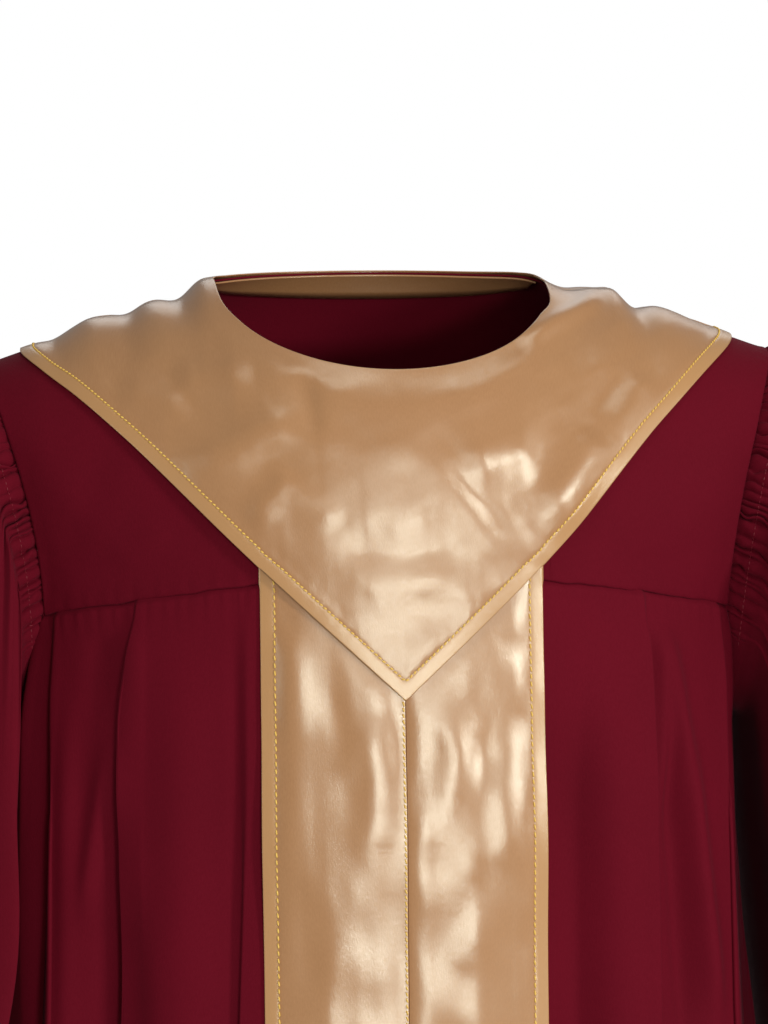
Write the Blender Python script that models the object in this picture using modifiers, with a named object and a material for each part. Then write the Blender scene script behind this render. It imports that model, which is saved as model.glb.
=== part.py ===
"""A choir robe, worn: yoke, knife-pleated skirt, gathered sleeves, satin collar and centre front panel.

Metres, +Z up. +X is the wearer's left and the front faces -Y. The origin lies between the side neck
points, in the plane of the shoulder seams. Every piece is an open cloth surface with a Solidify wall
that goes inwards from it, so the surfaces below are the outer faces of the cloth.
"""
import math

import bmesh
import bpy
from mathutils import Vector

COLLECTION = "choir_robe"
MM = 0.001

# Cloth walls, and the gap that is left between pieces at a seam.
CLOTH_WALL = 1.2 * MM
SATIN_WALL = 1.2 * MM
GAP = 0.3 * MM

# Shoulders and chest of the general figure that the robe hangs on.
SHOULDER_CROWN = 0.0205
SHOULDER_FALL = 0.345
SHOULDER_ROUND = 0.040
FRONT_DEPTH = 0.125
BACK_DEPTH = 0.108
SIDE_DEPTH = 0.060
LEAST_DEPTH = 0.018
SIDE_POWER = 2.2
CHEST_FALL = 0.160
SIDE_FALL = 0.112
SKIRT_FLARE = 0.092
PULL_START = 0.45
# A point of the robe is found in this many rounds, up to this share of the way past the yoke seam.
FINDING_ROUNDS = 5
PAST_SEAM = 1.2
NORMAL_STEP = 1.0 * MM
# How far each shoulder settles, over what width from the centre and what height.
SHOULDER_RISE = 5.0 * MM
SHOULDER_SINK = -2.0 * MM
SETTLE_START = 0.050
SETTLE_WIDTH = 0.120
SETTLE_FOOT = -0.200
SETTLE_HEIGHT = 0.110
# A line inside the figure, which the faces of the robe look away from.
INSIDE_WIDTH = 0.6
INSIDE_DROP = 0.05
INSIDE_TOP = -0.08

# Neckline, collar, yoke and panel.
NECK_HALF = 0.091
NECK_FRONT_Z = -0.045
NECK_BACK_Z = 0.002
YOKE_BACK_OFF = 0.003
YOKE_CENTRE_Z = -0.150
YOKE_DROP = 0.029
YOKE_POWER = 1.5
CORNER_X = 0.187
PANEL_HALF = 0.0760
PANEL_START = 0.5
PANEL_CLEARANCE = 0.5 * MM
COLLAR_TIP_X = 0.197
COLLAR_POINT_Z = -0.219
COLLAR_BACK_Z = -0.125
COLLAR_HOLLOW = 0.095
COLLAR_HOLLOW_POWER = 5
NECK_CLEARANCE = 0.7 * MM
COLLAR_CLEARANCE = 2.8 * MM
COLLAR_LIFT = 2.4 * MM
# Shares of the way down the collar at which it lies clear of the neck's edge, and starts to lift.
COLLAR_CLEAR = 0.15
LIFT_START = 0.5
FACING_STOPS = (0.0, 0.015, 0.14)

# Armhole loop.
ARM_TOP_X = 0.220
ARM_TOP_Z = -0.0450
UNDERARM_X = 0.190
UNDERARM_Z = -0.240
ARM_HALF_DEPTH = 0.062
ARM_BOW = 0.0132

# Hem of the skirt, and the half width of the flat stretch under the panel.
HEM_Z = -1.300
HEM_HALF = 0.310
HEM_FRONT = 0.235
HEM_BACK = 0.215
HEM_POWER = 2.3
STILL_HALF = 0.084
FRONT_SPREAD = 1.5

# Each row is one knife pleat. at is its fold's distance from the centre along the seam and down the
# armhole. rise_seam and rise_hem are its height over the cloth that it lies on, edge is the width of
# the step down at its fold, and lap is how far the fold reaches over the next pleat at the hem.
PLEAT_COLUMNS = ("name", "at", "rise_seam", "rise_hem", "edge", "lap")
FRONT_RIGHT_PLEATS = (
    ("beside_panel", 0.0865, 0.0000, 0.014, 0.0024, 0.004),
    ("chest", 0.139, 0.0030, 0.030, 0.0024, 0.006),
    ("corner", 0.181, 0.0030, 0.028, 0.0024, 0.006),
    ("armhole", 0.226, 0.0000, 0.022, 0.0060, 0.002),
)
FRONT_LEFT_PLEATS = (
    ("beside_panel", 0.0920, 0.0000, 0.014, 0.0140, 0.000),
    ("chest", 0.1345, 0.0030, 0.030, 0.0024, 0.006),
    ("corner", 0.181, 0.0030, 0.028, 0.0024, 0.006),
    ("armhole", 0.228, 0.0000, 0.022, 0.0060, 0.002),
)
BACK_PLEATS = (
    ("centre", 0.026, 0.0030, 0.026, 0.0024, 0.004),
    ("inner", 0.064, 0.0030, 0.030, 0.0024, 0.005),
    ("blade", 0.103, 0.0030, 0.030, 0.0024, 0.005),
    ("outer", 0.143, 0.0030, 0.030, 0.0024, 0.005),
    ("corner", 0.181, 0.0030, 0.028, 0.0024, 0.005),
    ("armhole", 0.227, 0.0000, 0.022, 0.0060, 0.002),
)
PLEAT_STOPS = (0.0, 0.30, 0.62, 0.88, 1.0)
STILL_STOPS = (0.0, 0.36, 0.72)
PLEAT_CURVE = 1.35
# A fold has its whole lap a third of the way down, and its foot goes half as far the other way.
LAP_GROWTH = 3
FOOT_LAP = 0.5
SKIRT_NORMAL_STEP = 0.004
SKIRT_ROWS = (0.0, 0.018, 0.05, 0.10, 0.17, 0.26, 0.37, 0.50, 0.65, 0.82, 1.0)
PLEAT_OPENING = 0.75

# Each row is one section of the sleeve, from the armhole to the cuff. inner and outer are its lowest
# point under the arm and its outermost point, half_depth its half width front to back, bow how far its
# front and back lean to the body, lap how far its front reaches over the skirt, gather and fold the
# heights of the fine gathers and the soft folds.
SLEEVE_COLUMNS = (
    "name", "inner_x", "inner_z", "outer_x", "outer_z", "half_depth", "bow", "lap", "gather", "fold"
)
SLEEVE_SECTIONS = (
    ("seam", 0.1900, -0.240, 0.2200, -0.0450, 0.0620, 0.0132, 0.000, 0.0005, 0.000),
    ("first_stitching", 0.1945, -0.241, 0.2275, -0.0430, 0.0675, 0.0135, 0.000, 0.0010, 0.000),
    ("second_stitching", 0.2000, -0.243, 0.2375, -0.0435, 0.0735, 0.0145, 0.000, 0.0012, 0.000),
    ("puff", 0.2040, -0.247, 0.2510, -0.0485, 0.0820, 0.0200, 0.000, 0.0, 0.002),
    ("cap", 0.2060, -0.262, 0.2690, -0.0660, 0.0890, 0.0280, 0.000, 0.0, 0.004),
    ("upper_arm", 0.2085, -0.290, 0.2880, -0.1150, 0.0950, 0.0350, 0.001, 0.0, 0.005),
    ("above_elbow", 0.2140, -0.340, 0.3050, -0.2050, 0.1020, 0.0400, 0.006, 0.0, 0.006),
    ("elbow", 0.2230, -0.410, 0.3210, -0.3150, 0.1140, 0.0400, 0.019, 0.0, 0.007),
    ("forearm", 0.2360, -0.500, 0.3420, -0.4450, 0.1280, 0.0360, 0.015, 0.0, 0.008),
    ("cuff", 0.2530, -0.615, 0.3700, -0.6000, 0.1430, 0.0300, 0.012, 0.0, 0.009),
)
# How much of bow and lap each sleeve has: the wearer's right sleeve hangs closer to the front.
SLEEVE_LEAN = {-1: 1.0, 1: 0.45}
SLEEVE_LAP = {-1: 1.0, 1: 0.3}
GATHERS = 78
GATHER_REACH = math.radians(125)
GATHER_FADE = math.radians(14)
UNDERARM_STEPS = 8
COLUMNS_A_FOLD = 4
FINE_SECTIONS = 3
# Soft folds round the sleeve. They are shallow on the side that hangs against the body.
SOFT_FOLD_COLUMNS = ("count", "weight", "phase", "phase_by_side")
SOFT_FOLDS = (
    (7, 0.6, 0.0, 0.7),
    (11, 0.4, 1.9, 0.0),
)
BODY_REACH = math.radians(70)
FOLD_AT_BODY = 0.15

NECK_COLUMNS = 6
SHOULDER_COLUMNS = 5
COLLAR_COLUMNS = 13
COLLAR_ROWS = 8
# A narrow strip along a seam that bends over the body, so that the walls end square to the seam.
SEAM_STRIP = 0.015
YOKE_STOPS = (0.0, SEAM_STRIP, 0.14, 0.28, 0.42, 0.56, 0.70, 0.85, 1.0)
PANEL_STEPS = (0.0, 0.34, 0.68, 1.0)

MAROON = (0.122, 0.004, 0.013)
MAROON_ROUGHNESS = 0.85
GOLD = (0.552, 0.332, 0.162)
GOLD_ROUGHNESS = 0.35


def lerp(a, b, share):
    return a + (b - a) * share


def ease(share):
    share = min(max(share, 0.0), 1.0)
    return share * share * (3 - 2 * share)


def table(columns, rows):
    """Turns a table's rows into dictionaries by column name."""
    return [dict(zip(columns, row)) for row in rows]


# The general figure

def shoulder_height(x):
    return SHOULDER_CROWN - SHOULDER_FALL * (math.hypot(x, SHOULDER_ROUND) - SHOULDER_ROUND)


def side_share(x):
    return (abs(x) / CORNER_X) ** SIDE_POWER


def body_depth(x, back):
    middle = BACK_DEPTH if back else FRONT_DEPTH
    return max(lerp(middle, SIDE_DEPTH, side_share(x)), LEAST_DEPTH)


def body_fall(x):
    return lerp(CHEST_FALL, SIDE_FALL, min(side_share(x), 1.0))


def body_point(x, turn):
    """A point of the bare figure. turn is 0 on the shoulder line, above 0 in front and below 0 behind."""
    amount = abs(turn)
    depth = body_depth(x, turn < 0)
    fall = body_fall(x)
    below = max(amount - math.pi / 2, 0.0) * fall
    bend = min(amount, math.pi / 2)
    y = depth * math.sin(bend) + SKIRT_FLARE * below
    z = shoulder_height(x) - fall * (1 - math.cos(bend)) - below
    return Vector((x, y if turn < 0 else -y, z))


def body_turn(x, z):
    """The turn at which the figure is at height z."""
    share = max((shoulder_height(x) - z) / body_fall(x), 0.0)
    return math.acos(1 - share) if share < 1 else math.pi / 2 + share - 1


def armhole(side, turn):
    """A point of the armhole seam. turn is 0 on the shoulder, grows to the front, and is pi under the arm."""
    lean = math.cos(turn)
    reach = math.sin(turn)
    x = lerp(UNDERARM_X, ARM_TOP_X, (1 + lean) / 2) - ARM_BOW * reach * reach
    z = lerp(UNDERARM_Z, ARM_TOP_Z, (1 + lean) / 2)
    return Vector((side * x, -ARM_HALF_DEPTH * reach, z))


def armhole_turn(z):
    middle = (UNDERARM_Z + ARM_TOP_Z) / 2
    return math.acos((z - middle) / (ARM_TOP_Z - middle))


def yoke_height(x):
    return YOKE_CENTRE_Z - YOKE_DROP * (abs(x) / CORNER_X) ** YOKE_POWER


def neck_turn(x, half, middle_z):
    """The turn of a neckline that is an oval from the front, half wide and down to middle_z."""
    share = min(abs(x) / half, 1.0)
    side_z = shoulder_height(half)
    return body_turn(x, lerp(side_z, middle_z, math.sqrt(1 - share * share)))


def seam_turn(x, back):
    """The turn that is half a gap away from the shoulder line."""
    return GAP / 2 / body_depth(x, back)


CORNER_TURN = armhole_turn(yoke_height(CORNER_X))


def yoke_turns(across, back):
    """The turns of the yoke's top edge and of its seam, at a share of the way to the armhole."""
    x_top = ARM_TOP_X * across
    neck_z = NECK_BACK_Z if back else NECK_FRONT_Z - YOKE_BACK_OFF
    top = max(neck_turn(x_top, NECK_HALF + YOKE_BACK_OFF, neck_z), seam_turn(x_top, back))
    x_seam = CORNER_X * across
    return top, body_turn(x_seam, yoke_height(x_seam))


def seam_pull(side, across, down, back):
    """How far the cloth is pulled off the figure towards the armhole seam."""
    sign = -1 if back else 1
    seam = armhole(side, sign * lerp(GAP / 2 / ARM_HALF_DEPTH, CORNER_TURN, down))
    top, bottom = yoke_turns(1.0, back)
    bare = body_point(side * lerp(ARM_TOP_X, CORNER_X, down), sign * lerp(top, bottom, down))
    return (seam - bare) * ease((across - PULL_START) / (1 - PULL_START))


def robe_point(x, turn):
    """A point of the robe over the shoulders, chest or back."""
    side = -1 if x < 0 else 1
    back = turn < 0
    down = 0.5
    for _ in range(FINDING_ROUNDS):
        across = abs(x) / lerp(ARM_TOP_X, CORNER_X, down)
        top, bottom = yoke_turns(across, back)
        down = min(max((abs(turn) - top) / (bottom - top), 0.0), PAST_SEAM)
    return body_point(x, turn) + seam_pull(side, min(across, 1.0), down, back)


def moved_out(x, turn, out):
    """The robe's point moved out along its normal."""
    step = NORMAL_STEP
    along_turn = robe_point(x, turn + step) - robe_point(x, turn - step)
    along_x = robe_point(x + step, turn) - robe_point(x - step, turn)
    return robe_point(x, turn) + along_turn.cross(along_x).normalized() * out


# Meshes and materials

def cloth_material(name, colour, roughness):
    material = bpy.data.materials.new(name)
    material.use_nodes = True
    shader = material.node_tree.nodes["Principled BSDF"]
    shader.inputs["Base Color"].default_value = (*colour, 1)
    shader.inputs["Roughness"].default_value = roughness
    shader.inputs["Metallic"].default_value = 0.0
    return material


def settled(point):
    """The wearer's left shoulder sits a little higher than the right one."""
    amount = SHOULDER_RISE if point.x > 0 else SHOULDER_SINK
    outward = ease((abs(point.x) - SETTLE_START) / SETTLE_WIDTH)
    upward = ease((point.z - SETTLE_FOOT) / SETTLE_HEIGHT)
    return point + Vector((0, 0, amount * outward * upward))


def wall(name, mesh, thickness, material, inside):
    """Makes the open surface a cloth wall. inside is a point that its faces look away from."""
    edit = bmesh.new()
    edit.from_mesh(mesh)
    for vertex in edit.verts:
        vertex.co = settled(vertex.co)
    edit.normal_update()
    facing = sum(f.normal.dot(f.calc_center_median() - inside(f.calc_center_median())) for f in edit.faces)
    if facing < 0:
        bmesh.ops.reverse_faces(edit, faces=edit.faces[:])
    edit.to_mesh(mesh)
    edit.free()
    mesh.shade_smooth()
    mesh.materials.append(material)
    obj = bpy.data.objects.new(name, mesh)
    bpy.data.collections[COLLECTION].objects.link(obj)
    solidify = obj.modifiers.new("cloth wall", "SOLIDIFY")
    solidify.thickness = thickness
    solidify.offset = -1
    solidify.use_quality_normals = True
    return obj


def grid_mesh(name, rows):
    """A surface through rows of equal length."""
    edit = bmesh.new()
    made = [[edit.verts.new(point) for point in row] for row in rows]
    for upper, lower in zip(made, made[1:]):
        for i in range(len(upper) - 1):
            edit.faces.new((upper[i], upper[i + 1], lower[i + 1], lower[i]))
    mesh = bpy.data.meshes.new(name)
    edit.to_mesh(mesh)
    edit.free()
    return mesh


def in_the_figure(point):
    return Vector((INSIDE_WIDTH * point.x, 0.0, min(point.z - INSIDE_DROP, INSIDE_TOP)))


# Yokes

def yoke_point(side, across, down, back):
    """across runs from the centre to the armhole, down from the neckline to the yoke seam."""
    top, bottom = yoke_turns(across, back)
    turn = lerp(top, bottom, down)
    x = side * across * lerp(ARM_TOP_X, CORNER_X, down)
    return body_point(x, -turn if back else turn) + seam_pull(side, across, down, back)


def yoke_shares():
    """Shares of the way to the armhole: even turns round the neck, then even steps along the shoulder."""
    neck = (NECK_HALF + YOKE_BACK_OFF) / ARM_TOP_X
    shares = [neck * math.sin(math.pi / 2 * k / NECK_COLUMNS) for k in range(NECK_COLUMNS + 1)]
    return shares + [lerp(neck, 1.0, k / SHOULDER_COLUMNS) for k in range(1, SHOULDER_COLUMNS + 1)]


def yoke_mesh(name, side, back, first=0.0):
    rows = []
    for down in YOKE_STOPS:
        row = []
        for across in yoke_shares():
            point = yoke_point(side, max(across, first), down, back)
            point.z += GAP / 2 * down
            row.append(point)
        rows.append(row)
    return grid_mesh(name, rows)


def make_yokes(material):
    centre = GAP / 2 / CORNER_X
    for name, side in (("yoke_front_right", -1), ("yoke_front_left", 1)):
        wall(name, yoke_mesh(name, side, False, centre), CLOTH_WALL, material, in_the_figure)
    right = yoke_mesh("right", -1, True)
    left = yoke_mesh("left", 1, True)
    edit = bmesh.new()
    edit.from_mesh(right)
    bmesh.ops.reverse_faces(edit, faces=edit.faces[:])
    edit.from_mesh(left)
    bmesh.ops.remove_doubles(edit, verts=edit.verts[:], dist=1e-6)
    mesh = bpy.data.meshes.new("yoke_back")
    edit.to_mesh(mesh)
    edit.free()
    bpy.data.meshes.remove(right)
    bpy.data.meshes.remove(left)
    wall("yoke_back", mesh, CLOTH_WALL, material, in_the_figure)


# Skirt

ARM_STEPS = 24


def arm_length(until):
    """Length of the armhole seam from the yoke's corner to the turn until."""
    turns = [lerp(CORNER_TURN, until, k / ARM_STEPS) for k in range(ARM_STEPS + 1)]
    points = [armhole(1, turn) for turn in turns]
    return sum((b - a).length for a, b in zip(points, points[1:]))


UNDERARM_TURN = math.pi - GAP / 2 / ARM_HALF_DEPTH
TOP_LENGTH = CORNER_X + arm_length(UNDERARM_TURN)


def skirt_top(side, at, back):
    if at <= CORNER_X:
        point = yoke_point(side, at / CORNER_X, 1.0, back)
        return point - Vector((0, 0, GAP / 2))
    share = (at - CORNER_X) / (TOP_LENGTH - CORNER_X)
    turn = lerp(CORNER_TURN, UNDERARM_TURN, share)
    point = armhole(side, -turn if back else turn)
    return point - Vector((0, 0, GAP / 2))


def hem_point(side, at, back):
    still = 0.0 if back else STILL_HALF
    if at <= still:
        x = at
        y = (1 - (x / HEM_HALF) ** HEM_POWER) ** (1 / HEM_POWER)
    else:
        start = math.asin((still / HEM_HALF) ** (HEM_POWER / 2))
        share = min((at - still) / (TOP_LENGTH - still), 1.0)
        angle = lerp(start, math.pi / 2, share ** (1.0 if back else FRONT_SPREAD))
        x = HEM_HALF * math.sin(angle) ** (2 / HEM_POWER)
        y = max(math.cos(angle), 0.0) ** (2 / HEM_POWER)
    depth = HEM_BACK * y if back else -HEM_FRONT * y
    if at >= TOP_LENGTH:
        depth = GAP / 2 if back else -GAP / 2
    return Vector((side * x, depth, HEM_Z))


def skirt_base(side, at, down, back):
    return skirt_top(side, at, back).lerp(hem_point(side, at, back), down)


def skirt_normal(side, at, down, back):
    step = SKIRT_NORMAL_STEP
    low = skirt_base(side, max(at - step, 0.0), down, back)
    high = skirt_base(side, min(at + step, TOP_LENGTH), down, back)
    run = high - low
    normal = Vector((run.y, -run.x, 0)) * side
    if back:
        normal.negate()
    return normal.normalized()


def pleat_rise(pleat, down):
    return lerp(pleat["rise_seam"], pleat["rise_hem"], down ** PLEAT_OPENING)


def skirt_columns(pleats):
    """(place, rise share, pleat, lap share) for each column from the centre to the side seam."""
    columns = []
    first = pleats[0]
    crest = first["at"] - first["edge"] / 2
    for share in STILL_STOPS:
        columns.append((crest * share, 1.0, first, 0.0))
    columns.append((crest, 1.0, first, 1.0))
    for before, pleat in zip(pleats, pleats[1:] + [None]):
        foot = before["at"] + before["edge"] / 2
        last = pleat is None
        end = TOP_LENGTH if last else pleat["at"] - pleat["edge"] / 2
        for share in PLEAT_STOPS[:-1] + (1 - SEAM_STRIP, 1.0) if last else PLEAT_STOPS:
            rise = 0.0 if last else share ** PLEAT_CURVE
            lap = -1.0 if share == 0 else float(share == 1 and not last)
            columns.append((lerp(foot, end, share), rise, before if last or share == 0 else pleat, lap))
    return columns


def skirt_point(side, column, down, back):
    at, rise, pleat, lap = column
    base = skirt_base(side, at, down, back)
    normal = skirt_normal(side, at, down, back)
    onward = Vector((-normal.y, normal.x, 0)) * side
    if back:
        onward.negate()
    lapped = lap * pleat["lap"] * ease(down * LAP_GROWTH)
    shift = lapped if lap > 0 else FOOT_LAP * lapped
    return base + normal * (rise * pleat_rise(pleat, down)) + onward * shift


def skirt_rows(side, pleats, back):
    columns = skirt_columns(table(PLEAT_COLUMNS, pleats))
    return [[skirt_point(side, column, down, back) for column in columns] for down in SKIRT_ROWS]


def make_skirt(material):
    for name, side, pleats in (
        ("skirt_front_right", -1, FRONT_RIGHT_PLEATS),
        ("skirt_front_left", 1, FRONT_LEFT_PLEATS),
    ):
        rows = skirt_rows(side, pleats, False)
        for row in rows:
            row[0].x = side * GAP / 2
        wall(name, grid_mesh(name, rows), CLOTH_WALL, material, in_the_figure)
    right = skirt_rows(-1, BACK_PLEATS, True)
    left = skirt_rows(1, BACK_PLEATS, True)
    rows = [list(reversed(a)) + b[1:] for a, b in zip(right, left)]
    wall("skirt_back", grid_mesh("skirt_back", rows), CLOTH_WALL, material, in_the_figure)


# Sleeves

def sleeve_turns():
    """Turns of the fine columns and the places of the coarse ones among them."""
    fine_count = 2 * GATHERS
    turns = [lerp(-GATHER_REACH, GATHER_REACH, k / fine_count) for k in range(fine_count)]
    under = 2 * math.pi - 2 * GATHER_REACH
    turns += [GATHER_REACH + under * k / UNDERARM_STEPS for k in range(UNDERARM_STEPS)]
    coarse = list(range(0, fine_count, COLUMNS_A_FOLD)) + list(range(fine_count, len(turns)))
    return turns, coarse


def sleeve_axis(section, side):
    inner = Vector((side * section["inner_x"], 0, section["inner_z"]))
    outer = Vector((side * section["outer_x"], 0, section["outer_z"]))
    return inner, outer


def sleeve_point(section, side, turn, number):
    inner, outer = sleeve_axis(section, side)
    lean = math.cos(turn)
    reach = math.sin(turn)
    centre = (inner + outer) / 2
    point = centre + (outer - inner) / 2 * lean + Vector((0, -section["half_depth"] * reach, 0))
    lean_in = lerp(ARM_BOW, section["bow"], SLEEVE_LEAN[side])
    lap = section["lap"] * SLEEVE_LAP[side] * max(reach, 0.0) ** 4
    point.x -= side * (lean_in * reach * reach + lap)
    away = (point - centre).normalized()
    under = math.pi - abs(math.remainder(turn, 2 * math.pi))
    gathered = ease((GATHER_REACH - (math.pi - under)) / GATHER_FADE)
    zigzag = 1 if number % 2 else -1
    point += away * (section["gather"] * zigzag * gathered)
    wave = 0
    for fold in table(SOFT_FOLD_COLUMNS, SOFT_FOLDS):
        phase = fold["phase"] + fold["phase_by_side"] * side
        wave += fold["weight"] * math.cos(fold["count"] * turn + phase)
    clear_of_body = ease(under / BODY_REACH)
    point += away * (section["fold"] * wave * lerp(FOLD_AT_BODY, 1.0, clear_of_body))
    point.x += side * GAP
    return point


def sleeve_mesh(name, side):
    sections = table(SLEEVE_COLUMNS, SLEEVE_SECTIONS)
    turns, coarse = sleeve_turns()
    edit = bmesh.new()
    rings = []
    for k, section in enumerate(sections):
        numbers = range(len(turns)) if k < FINE_SECTIONS else coarse
        rings.append([edit.verts.new(sleeve_point(section, side, turns[n], n)) for n in numbers])
    for upper, lower in zip(rings, rings[1:]):
        if len(upper) == len(lower):
            for i in range(len(upper)):
                after = (i + 1) % len(upper)
                edit.faces.new((upper[i], upper[after], lower[after], lower[i]))
        else:
            fan_between(edit, upper, lower, coarse)
    mesh = bpy.data.meshes.new(name)
    edit.to_mesh(mesh)
    edit.free()
    return mesh


def fan_between(edit, fine, few, coarse):
    """Joins a fine ring to a coarse one, whose columns lie at the places coarse of the fine ring."""
    ends = coarse[1:] + [len(fine)]
    for k, (start, end) in enumerate(zip(coarse, ends)):
        after = few[(k + 1) % len(few)]
        half = (start + end) // 2
        for n in range(start, end):
            tip = few[k] if n < half else after
            edit.faces.new((fine[n], fine[(n + 1) % len(fine)], tip))
        edit.faces.new((fine[half % len(fine)], after, few[k]))


def in_the_sleeve(side):
    """Finds the point of the sleeve's middle line that is level with a point of its surface."""
    sections = table(SLEEVE_COLUMNS, SLEEVE_SECTIONS)
    middles = [sum(sleeve_axis(section, side), Vector()) / 2 for section in sections]
    return lambda point: min(middles, key=lambda middle: (middle - point).length)


def make_sleeves(material):
    for name, side in (("sleeve_right", -1), ("sleeve_left", 1)):
        wall(name, sleeve_mesh(name, side), CLOTH_WALL, material, in_the_sleeve(side))


# Satin panel and collar

def panel_on_yoke(x, down, out):
    """A point in front of the yoke, on the same row as the yoke's own points."""
    across = abs(x) / lerp(ARM_TOP_X, CORNER_X, down)
    top, bottom = yoke_turns(across, False)
    point = moved_out(x, lerp(top, bottom, down), out)
    point.z += GAP / 2 * down
    return point


def panel_on_skirt(x, down, out):
    """A point in front of the flat stretch of the skirt between its first pleats."""
    side = -1 if x < 0 else 1
    pleat = table(PLEAT_COLUMNS, FRONT_RIGHT_PLEATS)[0]
    normal = skirt_normal(side, abs(x), down, False)
    point = skirt_base(side, abs(x), down, False) + normal * (pleat_rise(pleat, down) + out)
    point.x = x
    return point


def make_panels(material):
    out = PANEL_CLEARANCE + SATIN_WALL
    for name, side in (("panel_right", -1), ("panel_left", 1)):
        places = [side * lerp(GAP / 2, PANEL_HALF, step) for step in PANEL_STEPS]
        rows = [[panel_on_yoke(x, down, out) for x in places] for down in YOKE_STOPS if down >= PANEL_START]
        rows += [[panel_on_skirt(x, down, out) for x in places] for down in SKIRT_ROWS[1:]]
        wall(name, grid_mesh(name, rows), SATIN_WALL, material, in_the_figure)


def collar_point(across, down, back):
    """across runs from the centre to the shoulder seam, down from the neckline to the free edge."""
    side = -1 if across < 0 else 1
    share = abs(across)
    x_neck = NECK_HALF * math.sin(share * math.pi / 2)
    neck = neck_turn(x_neck, NECK_HALF, NECK_BACK_Z if back else NECK_FRONT_Z)
    turn_neck = max(neck, seam_turn(NECK_HALF, back))
    x_edge = COLLAR_TIP_X * share
    point_z = COLLAR_BACK_Z if back else COLLAR_POINT_Z
    hollow = COLLAR_HOLLOW * share ** COLLAR_HOLLOW_POWER * (1 - share)
    edge_z = lerp(point_z, shoulder_height(COLLAR_TIP_X), share) + hollow
    turn_edge = max(body_turn(x_edge, edge_z), seam_turn(x_edge, back))
    x = lerp(x_neck, x_edge, down)
    turn = lerp(turn_neck, turn_edge, down)
    stand = lerp(NECK_CLEARANCE, COLLAR_CLEARANCE, ease(down / COLLAR_CLEAR))
    lift = COLLAR_LIFT * ease((down - LIFT_START) / (1 - LIFT_START))
    return moved_out(side * x, -turn if back else turn, SATIN_WALL + stand + lift)


def make_collar(material):
    inner = [i / COLLAR_COLUMNS for i in range(-COLLAR_COLUMNS + 1, COLLAR_COLUMNS)]
    shares = [-1.0, SEAM_STRIP - 1] + inner + [1 - SEAM_STRIP, 1.0]
    for name, back in (("collar_front", False), ("collar_back", True)):
        rows = []
        for j in range(COLLAR_ROWS + 1):
            down = j / COLLAR_ROWS
            rows.append([collar_point(share, down, back) for share in shares])
        wall(name, grid_mesh(name, rows), SATIN_WALL, material, in_the_figure)


def make_facing(material):
    """The satin strip inside the back of the neck, under the yoke and made from its points."""
    shares = yoke_shares()[:NECK_COLUMNS]
    places = [(-1, share) for share in reversed(shares[1:])] + [(1, share) for share in shares]
    rows = []
    for down in FACING_STOPS:
        row = []
        for side, across in places:
            top, bottom = yoke_turns(across, True)
            x = side * across * lerp(ARM_TOP_X, CORNER_X, down)
            row.append(moved_out(x, -lerp(top, bottom, down), -CLOTH_WALL - GAP))
        rows.append(row)
    wall("neck_facing", grid_mesh("neck_facing", rows), SATIN_WALL, material, in_the_figure)


def main():
    for old in list(bpy.data.objects):
        bpy.data.objects.remove(old)
    robe = bpy.data.collections.new(COLLECTION)
    bpy.context.scene.collection.children.link(robe)
    maroon = cloth_material("maroon_polyester", MAROON, MAROON_ROUGHNESS)
    gold = cloth_material("gold_satin", GOLD, GOLD_ROUGHNESS)
    make_yokes(maroon)
    make_skirt(maroon)
    make_sleeves(maroon)
    make_panels(gold)
    make_collar(gold)
    make_facing(gold)


main()
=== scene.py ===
# %% [markdown]
# # A choir robe in its worn form
# The robe has a plain yoke, a full skirt in knife pleats, gathered bell sleeves, a satin collar that
# falls to a point on the breast, and a satin panel of two strips down the centre front. The solids of
# the robe are loaded as a fixed frame. Each is then replaced by a finer shell of cloth on the same form.

# %% Load the frame
import math

import bpy
import numpy as np
from mathutils import Matrix, Vector


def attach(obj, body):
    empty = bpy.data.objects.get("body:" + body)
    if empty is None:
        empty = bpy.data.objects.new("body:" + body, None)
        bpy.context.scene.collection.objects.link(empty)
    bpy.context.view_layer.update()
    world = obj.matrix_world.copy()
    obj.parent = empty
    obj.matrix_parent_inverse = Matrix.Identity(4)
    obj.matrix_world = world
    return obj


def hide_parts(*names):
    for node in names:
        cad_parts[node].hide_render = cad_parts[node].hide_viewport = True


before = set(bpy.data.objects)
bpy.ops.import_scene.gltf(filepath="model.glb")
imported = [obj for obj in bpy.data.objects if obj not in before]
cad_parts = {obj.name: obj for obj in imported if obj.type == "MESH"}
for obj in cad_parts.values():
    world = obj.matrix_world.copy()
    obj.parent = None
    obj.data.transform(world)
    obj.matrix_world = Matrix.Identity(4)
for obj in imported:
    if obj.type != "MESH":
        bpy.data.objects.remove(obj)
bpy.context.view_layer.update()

# %% [markdown]
# ## The camera
# The photograph is a close view of the breast, taken from a little to the wearer's right and a little
# above. A long lens from 2.5 m away gives the same flat perspective. The camera's three directions are
# worked out from two angles, so that they stay square to each other.

# %% Place the camera
MM = 0.001
IMAGE_HEIGHT, FOCAL_PIXELS, SENSOR_HEIGHT = 1024, 4500, 36
VIEW_AZIMUTH, VIEW_ELEVATION, VIEW_DISTANCE = -6.5, 5.0, 2.5
VIEW_SIDEWAYS, VIEW_DOWN = 0.004, 0.1294


def direction(azimuth, elevation):
    """Towards a place round the robe, in degrees. 0 is in front, and more is to the wearer's left."""
    turn, lift = math.radians(azimuth), math.radians(elevation)
    return Vector((math.sin(turn) * math.cos(lift), -math.cos(turn) * math.cos(lift), math.sin(lift)))


def in_scene(name, data):
    """A new object, linked to the scene."""
    obj = bpy.data.objects.new(name, data)
    bpy.context.scene.collection.objects.link(obj)
    return obj


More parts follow.
